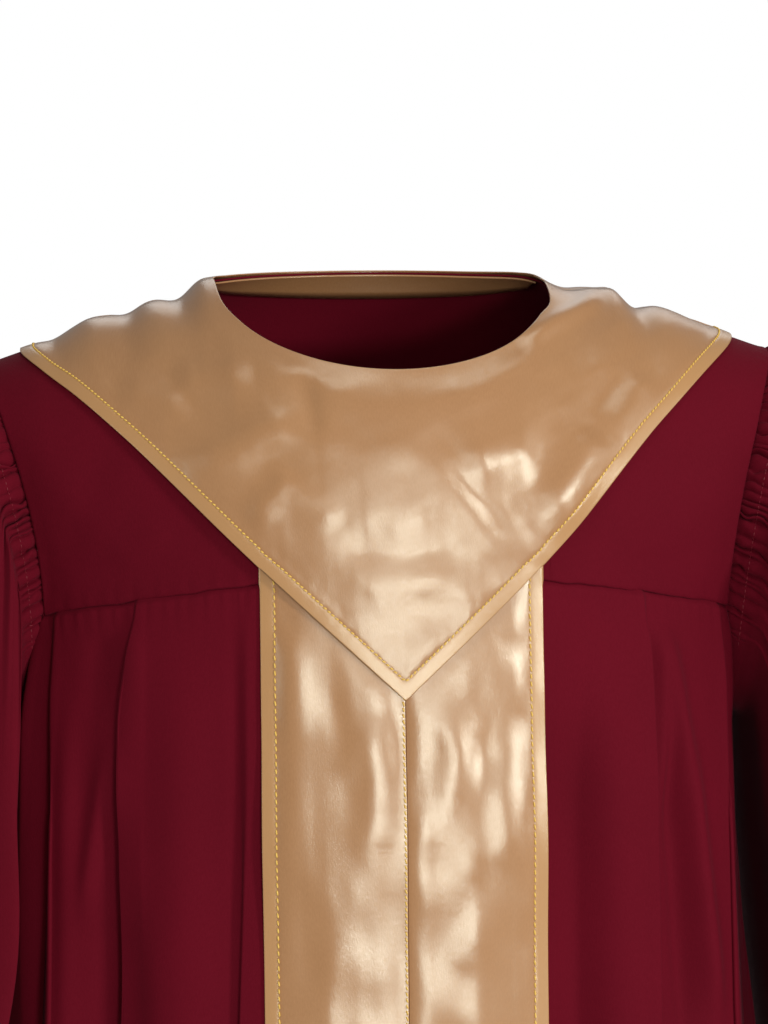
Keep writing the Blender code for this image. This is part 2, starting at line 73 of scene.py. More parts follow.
to_camera = direction(VIEW_AZIMUTH, VIEW_ELEVATION)
to_right = -direction(VIEW_AZIMUTH - 90, 0)
to_top = to_camera.cross(to_right)
eye = to_right * VIEW_SIDEWAYS - to_top * VIEW_DOWN + to_camera * VIEW_DISTANCE
camera_data = bpy.data.cameras.new("photo_camera")
camera_data.sensor_fit = "VERTICAL"
camera_data.sensor_height = SENSOR_HEIGHT
camera_data.lens = FOCAL_PIXELS * SENSOR_HEIGHT / IMAGE_HEIGHT
camera = in_scene("photo_camera", camera_data)
camera.matrix_world = Matrix.Translation(eye) @ Matrix((to_right, to_top, to_camera)).transposed().to_4x4()
bpy.context.scene.camera = camera
print("the lens is", round(camera_data.lens, 1), "mm")

# %% [markdown]
# ## The studio
# White walls all round give an even light, and soft boxes from the front and the sides give the satin
# something bright to mirror. What the camera sees past the robe is plain white, brighter than the
# light that the walls give, as in a photograph with a lit background.

# %% Light the studio
WALL_LIGHT, BACKDROP_LIGHT = 0.24, 1.0
BREAST = Vector((0, -0.10, -0.20))
SOFTBOX_COLUMNS = ("name", "azimuth", "elevation", "distance", "width", "height", "watts")
SOFTBOXES = (
    ("front_box", 8, 3, 2.9, 0.50, 0.24, 23),
    ("breast_box", 44, 14, 2.7, 0.42, 0.50, 27),
    ("wide_box", 20, 74, 2.7, 1.5, 0.6, 10),
    ("haze_box", 5, 20, 2.7, 1.3, 0.4, 7),
    ("right_box", 72, 22, 2.6, 0.7, 1.4, 5),
    ("left_box", -66, 12, 2.6, 0.5, 1.4, 5),
    ("back_box", 170, 35, 3.0, 2.0, 1.4, 10),
)


def table(columns, rows):
    """Turns a table's rows into dictionaries by column name."""
    return [dict(zip(columns, row)) for row in rows]


for box in table(SOFTBOX_COLUMNS, SOFTBOXES):
    away = direction(box["azimuth"], box["elevation"])
    light = bpy.data.lights.new(box["name"], "AREA")
    light.shape = "RECTANGLE"
    light.size, light.size_y, light.energy = box["width"], box["height"], box["watts"]
    lamp = in_scene(box["name"], light)
    lamp.location = BREAST + away * box["distance"]
    lamp.rotation_euler = away.to_track_quat("Z", "Y").to_euler()

world = bpy.data.worlds.new("white_studio")
world.use_nodes = True
tree = world.node_tree
tree.nodes.clear()
seen = tree.nodes.new("ShaderNodeLightPath")
mix = tree.nodes.new("ShaderNodeMixShader")
tree.links.new(seen.outputs["Is Camera Ray"], mix.inputs["Fac"])
for socket, strength in ((1, WALL_LIGHT), (2, BACKDROP_LIGHT)):
    white = tree.nodes.new("ShaderNodeBackground")
    white.inputs["Color"].default_value = (1, 1, 1, 1)
    white.inputs["Strength"].default_value = strength
    tree.links.new(white.outputs[0], mix.inputs[socket])
tree.links.new(mix.outputs[0], tree.nodes.new("ShaderNodeOutputWorld").inputs["Surface"])
bpy.context.scene.world = world
bpy.context.scene.view_settings.view_transform = "Standard"
print(len(SOFTBOXES), "soft boxes")

# %% [markdown]
# ## The cut of the robe
# The robe hangs on a general figure: a rounded shoulder line, a depth front and back, and a fall from
# the shoulder to the chest. Every panel is a grid of points worked out from these few sizes, the same
# sizes that its solid has, so a shell made on them lies exactly on its solid. NumPy works out a whole
# grid at once, which lets the shells be many times finer than the solids.

# %% Small helpers for numbers
PI = math.pi


def lerp(a, b, share):
    return a + (b - a) * share


def ease(share):
    share = np.clip(share, 0.0, 1.0)
    return share * share * (3 - 2 * share)


def hill(distance, half_width):
    """1 at the middle, falling softly to 0 past the half width."""
    return np.exp(-(distance / half_width) ** 2)


def ripple(run, wavelength, seed):
    """An uneven wave along a length, about -1 to 1, that is the same in each run."""
    turns = 2 * PI * run / wavelength
    return (
        np.sin(turns + seed) + 0.6 * np.sin(1.73 * turns + 2.1 * seed) + 0.4 * np.sin(2.71 * turns + 3.3 * seed)
    ) / 1.6


def xyz(x, y, z):
    return np.stack(np.broadcast_arrays(x, y, z), axis=-1).astype(float)


def unit(vectors):
    return vectors / np.maximum(np.linalg.norm(vectors, axis=-1, keepdims=True), 1e-12)


# %% The general figure
GAP = 0.3 * MM
SHOULDER_CROWN, SHOULDER_FALL, SHOULDER_ROUND = 0.0205, 0.345, 0.040
FRONT_DEPTH, BACK_DEPTH, SIDE_DEPTH, SIDE_POWER = 0.125, 0.108, 0.060, 2.2
CHEST_FALL, SIDE_FALL, SKIRT_FLARE = 0.160, 0.112, 0.092
CORNER_X = 0.187


def shoulder_height(x):
    return SHOULDER_CROWN - SHOULDER_FALL * (np.hypot(x, SHOULDER_ROUND) - SHOULDER_ROUND)


def side_share(x):
    return (np.abs(x) / CORNER_X) ** SIDE_POWER


def body_depth(x, back):
    middle = np.where(back, BACK_DEPTH, FRONT_DEPTH)
    return np.maximum(lerp(middle, SIDE_DEPTH, side_share(x)), 0.3 * SIDE_DEPTH)


def body_fall(x):
    return lerp(CHEST_FALL, SIDE_FALL, np.minimum(side_share(x), 1.0))


def body_point(x, turn):
    """turn is 0 on the shoulder line and grows down the front or, below 0, the back."""
    back = turn < 0
    amount = np.abs(turn)
    fall = body_fall(x)
    below = np.maximum(amount - PI / 2, 0.0) * fall
    bend = np.minimum(amount, PI / 2)
    y = body_depth(x, back) * np.sin(bend) + SKIRT_FLARE * below
    z = shoulder_height(x) - fall * (1 - np.cos(bend)) - below
    return xyz(x, np.where(back, y, -y), z)


def body_turn(x, z):
    """The turn at which the figure is at height z."""
    share = np.maximum((shoulder_height(x) - z) / body_fall(x), 0.0)
    return np.where(share < 1, np.arccos(1 - np.minimum(share, 1.0)), PI / 2 + share - 1)


print("the chest is", round(FRONT_DEPTH + BACK_DEPTH, 3), "m deep")

# %% The armhole, the neckline and the yoke
NECK_HALF, NECK_FRONT_Z, NECK_BACK_Z, YOKE_BACK_OFF = 0.091, -0.045, 0.002, 0.003
YOKE_CENTRE_Z, YOKE_DROP, YOKE_POWER, PULL_START = -0.150, 0.029, 1.5, 0.45
ARM_TOP_X, ARM_TOP_Z, UNDERARM_X, UNDERARM_Z = 0.220, -0.0450, 0.190, -0.240
ARM_HALF_DEPTH, ARM_BOW = 0.062, 0.0132
SHOULDER_RISE, SHOULDER_SINK, SETTLE_START, SETTLE_WIDTH = 5.0 * MM, -2.0 * MM, 0.050, 0.120
SETTLE_FOOT, SETTLE_HEIGHT = -0.200, 0.110
# Soft rises and dips along the shoulder line: place, height and half width. They die away down the robe.
WAVE_DEPTH, WAVE_FOOT, WAVE_HEIGHT = 0.045, -0.08, 0.04
SHOULDER_WAVES = (
    (-0.180, -0.0018, 0.007), (-0.160, 0.0024, 0.009), (-0.139, -0.0030, 0.008), (-0.111, -0.0055, 0.010),
    (-0.099, 0.0024, 0.007), (0.103, -0.0050, 0.013), (0.130, 0.0026, 0.006), (0.1435, -0.0050, 0.008),
)


def armhole(side, turn):
    """A point of the armhole seam. turn is 0 on the shoulder, grows to the front, and is pi under the arm."""
    up, reach = (1 + np.cos(turn)) / 2, np.sin(turn)
    x = lerp(UNDERARM_X, ARM_TOP_X, up) - ARM_BOW * reach * reach
    return xyz(side * x, -ARM_HALF_DEPTH * reach, lerp(UNDERARM_Z, ARM_TOP_Z, up))


def yoke_height(x):
    return YOKE_CENTRE_Z - YOKE_DROP * (np.abs(x) / CORNER_X) ** YOKE_POWER


def neck_turn(x, half, middle_z):
    share = np.minimum(np.abs(x) / half, 1.0)
    return body_turn(x, lerp(shoulder_height(half), middle_z, np.sqrt(1 - share * share)))


def seam_turn(x, back):
    """The turn that is half a gap away from the shoulder line."""
    return GAP / 2 / body_depth(x, back)


ARM_MIDDLE_Z = (UNDERARM_Z + ARM_TOP_Z) / 2
CORNER_TURN = math.acos((float(yoke_height(CORNER_X)) - ARM_MIDDLE_Z) / (ARM_TOP_Z - ARM_MIDDLE_Z))


def yoke_turns(across, back):
    """The turns of the yoke's top edge and of its seam, at a share of the way to the armhole."""
    x_top = ARM_TOP_X * across
    neck_z = np.where(back, NECK_BACK_Z, NECK_FRONT_Z - YOKE_BACK_OFF)
    top = np.maximum(neck_turn(x_top, NECK_HALF + YOKE_BACK_OFF, neck_z), seam_turn(x_top, back))
    x_seam = CORNER_X * across
    return top, body_turn(x_seam, yoke_height(x_seam))


def seam_pull(side, across, down, back):
    """How far the cloth is pulled off the figure towards the armhole seam."""
    sign = np.where(back, -1, 1)
    seam = armhole(side, sign * lerp(GAP / 2 / ARM_HALF_DEPTH, CORNER_TURN, down))
    top, bottom = yoke_turns(np.ones_like(down), back)
    bare = body_point(side * lerp(ARM_TOP_X, CORNER_X, down), sign * lerp(top, bottom, down))
    return (seam - bare) * ease((across - PULL_START) / (1 - PULL_START))[..., None]


def yoke_point(side, across, down, back):
    """across runs from the centre to the armhole, down from the neckline or shoulder to the yoke seam."""
    top, bottom = yoke_turns(across, back)
    turn = lerp(top, bottom, down) * np.where(back, -1, 1)
    x = side * across * lerp(ARM_TOP_X, CORNER_X, down)
    return body_point(x, turn) + seam_pull(side, across, down, back)


def robe_point(x, turn):
    """A point of the robe over the shoulders, chest or back, by its place and turn on the figure."""
    side, back = np.where(x < 0, -1, 1), turn < 0
    down = np.full(np.shape(x), 0.5)
    for _ in range(5):
        across = np.abs(x) / lerp(ARM_TOP_X, CORNER_X, down)
        top, bottom = yoke_turns(across, back)
        down = np.clip((np.abs(turn) - top) / (bottom - top), 0.0, 1.2)
    return body_point(x, turn) + seam_pull(side, np.minimum(across, 1.0), down, back)


def moved_out(x, turn, out):
    """The robe's points moved out along their normals."""
    step = 1e-3
    along_turn = robe_point(x, turn + step) - robe_point(x, turn - step)
    along_x = robe_point(x + step, turn) - robe_point(x - step, turn)
    normal = unit(np.cross(along_turn, along_x))
    return robe_point(x, turn) + normal * np.asarray(out)[..., None]


def settled(points):
    """The wearer's left shoulder sits a little higher than the right one."""
    x, z = points[..., 0], points[..., 2]
    amount = np.where(x > 0, SHOULDER_RISE, SHOULDER_SINK)
    outward = ease((np.abs(x) - SETTLE_START) / SETTLE_WIDTH)
    upward = ease((z - SETTLE_FOOT) / SETTLE_HEIGHT)
    rise = amount * outward * upward
    for place, height, half_width in SHOULDER_WAVES:
        near = hill(points[..., 1], WAVE_DEPTH) * ease((z - WAVE_FOOT) / WAVE_HEIGHT)
        rise = rise + height * hill(x - place, half_width) * near
    return points + xyz(0.0, 0.0, rise)


print("the yoke seam leaves the armhole", round(math.degrees(CORNER_TURN)), "degrees down from the shoulder")

# %% [markdown]
# ## Cloth from a grid of points
# Each piece of cloth is one grid. Its faces get a UV map in metres, so that the weave keeps its real
# size on every piece and follows the cloth round each fold. A Solidify modifier gives the wall its
# thickness, inwards from the outer face. Creases are listed in short tables, as soft lines with a
# width and a height, and are added to a grid along its normals.

# %% Grids, normals and shells
WALL = 1.0 * MM
SIDES = (("right", -1), ("left", 1))
pieces = {}


def run_along(points, axis):
    """The length from the start along each row (axis 1) or column (axis 0) of a grid."""
    steps = np.linalg.norm(np.diff(points, axis=axis), axis=-1)
    start = np.zeros_like(np.take(steps, [0], axis=axis))
    return np.concatenate([start, np.cumsum(steps, axis=axis)], axis=axis)


def in_the_figure(points):
    x, z = points[..., 0], points[..., 2]
    return xyz(0.6 * x, 0.0, np.minimum(z - 0.05, -0.08))


def grid_normals(points, closed=False, inside=in_the_figure):
    """Outward normals of a grid. A closed grid joins its last column to its first."""
    wide = np.concatenate([points[:, -1:], points, points[:, :1]], axis=1) if closed else points
    across, down = np.gradient(wide, axis=1), np.gradient(wide, axis=0)
    normals = unit(np.cross(down, across))
    if closed:
        normals = normals[:, 1:-1]
    outward = points - inside(points)
    return normals * (-1 if (normals * outward).sum() < 0 else 1)


def shell(node, points, material, closed=False, inside=in_the_figure, band=None):
    """Makes a grid of points a piece of cloth for a node. band marks the turned-under edge, where the satin material
    paints a browner colour that stands in for its weaker sheen.
    """
    name = node + "_cloth"
    points = settled(points)
    rows, columns = points.shape[:2]
    number = np.arange(rows * columns).reshape(rows, columns)
    full = np.concatenate([points, points[:, :1]], axis=1) if closed else points
    if closed:
        number = np.concatenate([number, number[:, :1]], axis=1)
    middle = full.shape[1] // 2
    run_u = run_along(full, 1)
    run_u = run_u - run_u[:, middle:middle + 1]
    uv = np.stack([run_u, run_along(full, 0)], axis=-1)
    corners = lambda a: np.stack([a[:-1, :-1], a[1:, :-1], a[1:, 1:], a[:-1, 1:]], axis=2)
    quads = corners(number).reshape(-1, 4)
    quad_uv = corners(uv).reshape(-1, 4, 2)
    across, down = np.gradient(points, axis=1), np.gradient(points, axis=0)
    if (np.cross(down, across) * (points - inside(points))).sum() < 0:
        quads, quad_uv = quads[:, ::-1], quad_uv[:, ::-1]
    mesh = bpy.data.meshes.new(name)
    mesh.from_pydata(points.reshape(-1, 3).tolist(), [], quads.tolist())
    mesh.uv_layers.new(name="cloth").data.foreach_set("uv", np.ascontiguousarray(quad_uv).ravel())
    if band is not None:
        mesh.attributes.new("band", "FLOAT", "POINT").data.foreach_set("value", np.ravel(band).astype(float))
    mesh.shade_smooth()
    mesh.materials.append(material)
    obj = in_scene(name, mesh)
    solidify = obj.modifiers.new("cloth wall", "SOLIDIFY")
    solidify.thickness, solidify.offset, solidify.use_quality_normals = WALL, -1, True
    pieces[node] = {"object": obj, "points": points, "normals": grid_normals(points, closed, inside)}
    print(f"{name}: {rows} x {columns} points")


# %% Creases listed in tables
# The tables of creases are in millimetres.
CREASE_COLUMNS = ("name", "x1", "z1", "x2", "z2", "x3", "z3", "half_width", "height")
CREASE_STEPS, CREASE_END, CRUMPLE_WAVES = 24, 0.3, 9


def crease_height(points, rows):
    """Heights of soft ridges and troughs. Each row is a bent line seen from the front, with its ends let out."""
    flat = points[..., [0, 2]]
    total = np.zeros(flat.shape[:-1])
    for row in table(CREASE_COLUMNS, rows):
        share = np.linspace(0, 1, CREASE_STEPS + 1)[:, None]
        start, bend, end = (np.array([row["x" + n], row["z" + n]]) * MM for n in "123")
        line = start * (1 - share) ** 2 + bend * 2 * share * (1 - share) + end * share ** 2
        nearest, along = np.full(total.shape, np.inf), np.zeros(total.shape)
        for n in range(CREASE_STEPS):
            run = line[n + 1] - line[n]
            part = np.clip(((flat - line[n]) @ run) / (run @ run), 0, 1)
            gap = np.linalg.norm(flat - line[n] - part[..., None] * run, axis=-1)
            along = np.where(gap < nearest, (n + part) / CREASE_STEPS, along)
            nearest = np.minimum(gap, nearest)
        fade = ease(along / CREASE_END) * ease((1 - along) / CREASE_END)
        total += row["height"] * MM * fade * hill(nearest, row["half_width"] * MM)
    return total


def edge_runs(points):
    """How far each point of a grid lies from each edge of it."""
    down, across = run_along(points, 0), run_along(points, 1)
    return {"top": down, "bottom": down[-1:] - down, "first": across, "last": across[:, -1:] - across}


def pucker(runs, edge, wavelength, height, reach, seed):
    """Small uneven puckers along one edge, dying away from it. runs are the grid's edge_runs."""
    along = runs["first" if edge in ("top", "bottom") else "top"]
    return height * ripple(along, wavelength, seed) * hill(runs[edge], reach) * ease(runs[edge] / (2 * MM))


def crumple(points, size, seed):
    """Soft uneven hollows over a face, about -1 to 1, from waves that cross in many directions."""
    rng = np.random.default_rng(seed)
    run = points[..., [0, 2]]
    total = np.zeros(points.shape[:2])
    for n in range(CRUMPLE_WAVES):
        angle, stretch = rng.uniform(0, PI), rng.uniform(0.7, 1.6)
        wave = run @ np.array([math.cos(angle), math.sin(angle)]) * 2 * PI * stretch / size
        total += np.sin(wave + 0.8 * np.sin(0.6 * wave + n) + rng.uniform(0, 2 * PI))
    return total / 3.5


def rolled(distance, radius):
    """How far the face rounds off close to a folded edge."""
    share = 1 - np.clip(distance / radius, 0, 1)
    return -radius * (1 - np.sqrt(1 - share ** 2))


def hem_groove(above, band):
    """The groove of the hem's stitches and the rounded edge, at a height above the edge."""
    return -0.35 * MM * (hill(above - band, 1.2 * MM) + hill(above, 0.5 * MM))


def raised(points, height):
    return points + grid_normals(points) * height[..., None]


# %% [markdown]
# ## Cloth materials
# The robe is a matt polyester in deep maroon, and the trim a lustrous satin in old gold. Both are woven,
# so one shader group draws the threads from the UV map in metres, and another makes the dye and the lie
# of the threads a little uneven. Each material uses the groups with its own values. Matt cloth gets a
# weak sheen. Satin has long floating threads, which mirror light as a brushed metal does.

# %% Shader groups for weave and dye


def add(tree, kind, inputs=(), **settings):
    """Adds a node with its settings, and links or sets its inputs."""
    made = tree.nodes.new(kind)
    for key, value in settings.items():
        setattr(made, key, value)
    for key, value in dict(inputs).items():
        if isinstance(value, bpy.types.NodeSocket):
            tree.links.new(value, made.inputs[key])
        else:
            made.inputs[key].default_value = value
    return made


def math_node(tree, operation, first, second=0.0):
    return add(tree, "ShaderNodeMath", {0: first, 1: second}, operation=operation).outputs[0]


def new_group(name, values, outputs):
    """A shader group that takes a place and some values, and gives values back."""
    group = bpy.data.node_groups.new(name, "ShaderNodeTree")
    group.interface.new_socket("Place", in_out="INPUT", socket_type="NodeSocketVector")
    for socket, value in values.items():
        group.interface.new_socket(socket, in_out="INPUT", socket_type="NodeSocketFloat").default_value = value
    for socket in outputs:
        group.interface.new_socket(socket, in_out="OUTPUT", socket_type="NodeSocketFloat")
    return group, group.nodes.new("NodeGroupInput").outputs, group.nodes.new("NodeGroupOutput").inputs


# Thick and thin stretches of thread in a metre, across and down the cloth.
SLUB_SCALE = (1150.0, 400.0, 1.0)


def make_weave():
    """Threads across and down the cloth. Float is how far the down threads lie over the others."""
    values = {"Thread Pitch": 0.6 * MM, "Float": 0.5, "Slub": 0.3}
    group, given, out = new_group("woven_threads", values, ("Height",))
    x, y, _ = add(group, "ShaderNodeSeparateXYZ", {0: given["Place"]}).outputs
    turns = math_node(group, "DIVIDE", 2 * PI, given["Thread Pitch"])
    across, twill, crossed = (
        math_node(group, "SINE", math_node(group, "MULTIPLY", run, turns))
        for run in (x, math_node(group, "ADD", x, y), math_node(group, "SUBTRACT", x, y))
    )
    woven = math_node(group, "MULTIPLY", twill, crossed)
    mixed = add(group, "ShaderNodeMix", {0: given["Float"], 2: woven, 3: across}, data_type="FLOAT")
    stretched = add(group, "ShaderNodeMapping", {"Vector": given["Place"], "Scale": SLUB_SCALE}, vector_type="POINT")
    slub = add(group, "ShaderNodeTexNoise", {"Vector": stretched.outputs[0], "Scale": 1.0, "Detail": 2.0})
    uneven = math_node(group, "MULTIPLY", math_node(group, "SUBTRACT", slub.outputs[0], 0.5), given["Slub"])
    height = math_node(group, "ADD", math_node(group, "MULTIPLY", mixed.outputs[0], 0.25), uneven)
    group.links.new(math_node(group, "ADD", height, 0.5), out["Height"])
    return group


def make_dye():
    """Broad and small unevenness of the dye and of the way that the threads lie."""
    values = {"Patch Size": 80 * MM, "Speck Size": 4 * MM}
    group, given, out = new_group("uneven_dye", values, ("Patches", "Specks"))
    for name, size in (("Patches", "Patch Size"), ("Specks", "Speck Size")):
        scale = math_node(group, "DIVIDE", 1.0, given[size])
        noise = add(group, "ShaderNodeTexNoise", {"Vector": given["Place"], "Scale": scale, "Detail": 3.0})
        group.links.new(noise.outputs[0], out[name])
    return group


weave_group, dye_group = make_weave(), make_dye()
print("shader groups:", weave_group.name, "and", dye_group.name)

# %% The cloth materials and the threads


def new_material(name):
    material = bpy.data.materials.new(name)
    material.use_nodes = True
    tree = material.node_tree
    tree.nodes.clear()
    shader = tree.nodes.new("ShaderNodeBsdfPrincipled")
    tree.links.new(shader.outputs[0], tree.nodes.new("ShaderNodeOutputMaterial").inputs["Surface"])
    return material, tree, shader


def set_all(shader, **values):
    for key, value in values.items():
        shader.inputs[key.replace("_", " ")].default_value = value


def shade_between(tree, shader, share, dark, light):
    mixed = add(tree, "ShaderNodeMix", {0: share, 6: dark, 7: light}, data_type="RGBA", clamp_factor=True)
    tree.links.new(mixed.outputs[2], shader.inputs["Base Color"])


def raise_threads(tree, shader, height, strength):
    relief = add(tree, "ShaderNodeBump", {"Strength": strength, "Distance": 0.1 * MM, "Height": height})
    tree.links.new(relief.outputs[0], shader.inputs["Normal"])


def cloth_material(name, dark, light, pitch, floating, slub, bump, rough):
    """Woven cloth between two shades. rough gives its roughness in the hollows and on the threads."""
    material, tree, shader = new_material(name)
    place = add(tree, "ShaderNodeUVMap", uv_map="cloth").outputs[0]
    weave = add(tree, "ShaderNodeGroup", node_tree=weave_group)
    dye = add(tree, "ShaderNodeGroup", node_tree=dye_group)
    for made, values in ((weave, {"Thread Pitch": pitch, "Float": floating, "Slub": slub}), (dye, {})):
        tree.links.new(place, made.inputs["Place"])
        for key, value in values.items():
            made.inputs[key].default_value = value
    shade = math_node(tree, "MULTIPLY", dye.outputs["Patches"], 0.6)
    for socket, amount in ((dye.outputs["Specks"], 0.15), (weave.outputs["Height"], 0.35)):
        shade = math_node(tree, "ADD", shade, math_node(tree, "MULTIPLY", socket, amount))
    shade_between(tree, shader, shade, (*dark, 1), (*light, 1))
    rougher = add(
        tree, "ShaderNodeMapRange", {0: weave.outputs["Height"], 3: rough[0], 4: rough[1]}, clamp=True
    )
    tree.links.new(rougher.outputs[0], shader.inputs["Roughness"])
    raise_threads(tree, shader, weave.outputs["Height"], bump)
    return material, tree, shader


maroon, _, maroon_shader = cloth_material(
    "maroon_cloth", (0.094, 0.0012, 0.0070), (0.146, 0.0020, 0.0120), 0.7 * MM, 0.15, 1.0, 0.8, (0.9, 0.75)
)
set_all(maroon_shader, Specular_IOR_Level=0.10, Sheen_Weight=0.03, Sheen_Roughness=0.45)
set_all(maroon_shader, Sheen_Tint=(0.85, 0.35, 0.45, 1))

gold, gold_tree, gold_shader = cloth_material(
    "gold_satin_cloth", (0.37, 0.162, 0.054), (0.50, 0.252, 0.102), 0.45 * MM, 0.2, 1.8, 0.25, (0.27, 0.19)
)
set_all(gold_shader, Metallic=0.0, Specular_IOR_Level=1.0, Coat_Weight=0.5, Coat_Roughness=0.5)
set_all(gold_shader, Specular_Tint=(0.96, 1.0, 0.84, 1))
# The band along the turned-under edge is painted browner: this is painted dullness, a colour that stands in for the
# weaker sheen of the satin there.
TURNED_EDGE_PAINTED_DULL_COLOUR = (0.52, 0.265, 0.095, 1)
turned_edge_painted_dull = add(gold_tree, "ShaderNodeAttribute", attribute_name="band").outputs["Fac"]
plain_gold = gold_shader.inputs["Base Color"].links[0].from_socket
shade_between(gold_tree, gold_shader, turned_edge_painted_dull, plain_gold, TURNED_EDGE_PAINTED_DULL_COLOUR)


def thread_material(name, dark, light):
    material, tree, shader = new_material(name)
    place = add(tree, "ShaderNodeTexCoord").outputs["Object"]
    twist = add(tree, "ShaderNodeTexNoise", {"Vector": place, "Scale": 900.0, "Detail": 2.0})
    shade_between(tree, shader, twist.outputs[0], (*dark, 1), (*light, 1))
    raise_threads(tree, shader, twist.outputs[0], 0.5)
    set_all(shader, Roughness=0.45)
    return material


gold_thread = thread_material("gold_thread", (0.70, 0.38, 0.045), (1.0, 0.72, 0.16))
maroon_thread = thread_material("maroon_thread", (0.07, 0.003, 0.010), (0.17, 0.008, 0.022))
gather_thread = thread_material("gather_thread", (0.12, 0.003, 0.008), (0.26, 0.010, 0.022))
print("materials:", [m.name for m in bpy.data.materials if m.users])

# %% [markdown]
# ## The yoke
# The yoke is the plain top of the robe. Its two fronts meet under the panel, its back is one piece, and
# the skirt and the sleeves hang from it. It could be cut from a sculpted torso, but a grid from neckline
# to seam keeps the grain straight, and its edges can roll into their seams as sewn edges do.

# %% Make the yokes
YOKE_CREASES = (
    ("from_shoulder_right", -205, -62, -190, -100, -150, -140, 12, 1.1),
    ("from_neck_right", -150, -70, -165, -110, -182, -165, 10, -0.9),
    ("beside_collar_right", -120, -125, -135, -140, -155, -150, 9, 0.8),
    ("from_shoulder_left", 208, -66, 188, -98, 158, -146, 13, 1.2),
    ("from_neck_left", 152, -75, 170, -120, 180, -168, 9, -1),
    ("beside_collar_left", 118, -118, 136, -135, 150, -156, 10, 0.7),
)
YOKE_BACK_CREASES = (
    ("blade_right", -195, -70, -150, -110, -90, -140, 14, 1.3),
    ("blade_left", 198, -68, 160, -118, 80, -146, 13, 1.2),
    ("middle", -20, -128, 5, -140, 40, -150, 10, -0.8),
)
NECK_STEPS, SHOULDER_STEPS, YOKE_ROWS = 30, 62, 66
SEAM_WAVER, SEAM_WAVER_WAVE = 0.45 * MM, 34 * MM


def edge_fine(count, start=0.0, end=1.0):
    """Shares from start to end, with extra steps close to both ends for rolled seams."""
    near = (end - start) * np.array([0.004, 0.010])
    return np.unique(np.concatenate([np.linspace(start, end, count), start + near, end - near]))


def yoke_shares():
    neck = (NECK_HALF + YOKE_BACK_OFF) / ARM_TOP_X
    round_neck = neck * np.sin(PI / 2 * np.arange(NECK_STEPS) / NECK_STEPS)
    return np.concatenate([round_neck, edge_fine(SHOULDER_STEPS, neck, 1.0)])


def yoke_grid(side, back, first=0.0):
    across, down = np.meshgrid(np.maximum(yoke_shares(), first), edge_fine(YOKE_ROWS))
    points = yoke_point(side, across, down, back)
    points[..., 2] += GAP / 2 * down
    return points


def joined(right_half, left_half):
    """One grid from two halves that share their middle column."""
    return np.concatenate([right_half[:, :0:-1], left_half], axis=1)


def seam_waver(x, run):
    """The small up and down of the sewn yoke seam, which dies away from it."""
    return SEAM_WAVER * ripple(x, SEAM_WAVER_WAVE, 1.0) * hill(run, 8 * MM)


def yoke_relief(points, creases, edges, seed):
    """Adds creases, the rolled yoke seam and, at the named edges, the rolled and puckered armhole seams."""
    runs = edge_runs(points)
    height = crease_height(points, creases) - 0.7 * MM * hill(runs["bottom"], 0.8 * MM)
    height += pucker(runs, "bottom", 11 * MM, 0.30 * MM, 9 * MM, seed)
    for edge in edges:
        height += rolled(runs[edge], 0.5 * MM) + 0.4 * MM * hill(runs[edge] - 1.5 * MM, 2 * MM)
        height += pucker(runs, edge, 7 * MM, 0.35 * MM, 6 * MM, seed + 1)
    points = raised(points, height)
    points[..., 2] += seam_waver(points[..., 0], edge_runs(points)["bottom"])
    return points


for word, side in SIDES:
    grid = yoke_grid(side, False, GAP / 2 / CORNER_X)
    shell("yoke_front_" + word, yoke_relief(grid, YOKE_CREASES, ("last",), 2.0 + side), maroon)
grid = joined(yoke_grid(-1, True), yoke_grid(1, True))
shell("yoke_back", yoke_relief(grid, YOKE_BACK_CREASES, ("first", "last"), 5.0), maroon)

# %% [markdown]
# ## The skirt
# Each skirt panel is pleated into the yoke. A knife pleat lies over the next one, with its fold towards
# the side of the body. A table gives each pleat its place, its rise and how far it laps over its
# neighbour. The fold and the hollow behind it are then rounded, because cloth never bends sharply. A cloth
# simulation could hang the pleats too, but a table puts each fold where the photograph shows it.

# %% Sizes of the skirt
HEM_Z, HEM_HALF, HEM_FRONT, HEM_BACK, HEM_POWER = -1.300, 0.310, 0.235, 0.215, 2.3
STILL_HALF, FRONT_SPREAD = 0.084, 1.5
PLEAT_COLUMNS = ("name", "at", "rise_seam", "rise_hem", "edge", "lap")
FRONT_PLEATS = {
    -1: (
        ("beside_panel", 0.0865, 0.0, 0.014, 0.0024, 0.004),
        ("chest", 0.139, 0.0018, 0.030, 0.0024, 0.006),
        ("corner", 0.181, 0.0018, 0.028, 0.0024, 0.006),
        ("armhole", 0.226, 0.0, 0.022, 0.0060, 0.002),
    ),
    1: (
        ("beside_panel", 0.0920, 0.0, 0.014, 0.0140, 0.0),
        ("chest", 0.1345, 0.0018, 0.030, 0.0024, 0.006),
        ("corner", 0.181, 0.0018, 0.028, 0.0024, 0.006),
        ("armhole", 0.228, 0.0, 0.022, 0.0060, 0.002),
    ),
}
BACK_PLEATS = (
    ("centre", 0.026, 0.0018, 0.026, 0.0024, 0.004),
    ("inner", 0.064, 0.0018, 0.030, 0.0024, 0.005),
    ("blade", 0.103, 0.0018, 0.030, 0.0024, 0.005),
    ("outer", 0.143, 0.0018, 0.030, 0.0024, 0.005),
    ("corner", 0.181, 0.0018, 0.028, 0.0024, 0.005),
    ("armhole", 0.227, 0.0, 0.022, 0.0060, 0.002),
)
PLEAT_CURVE, PLEAT_OPENING = 1.35, 0.75
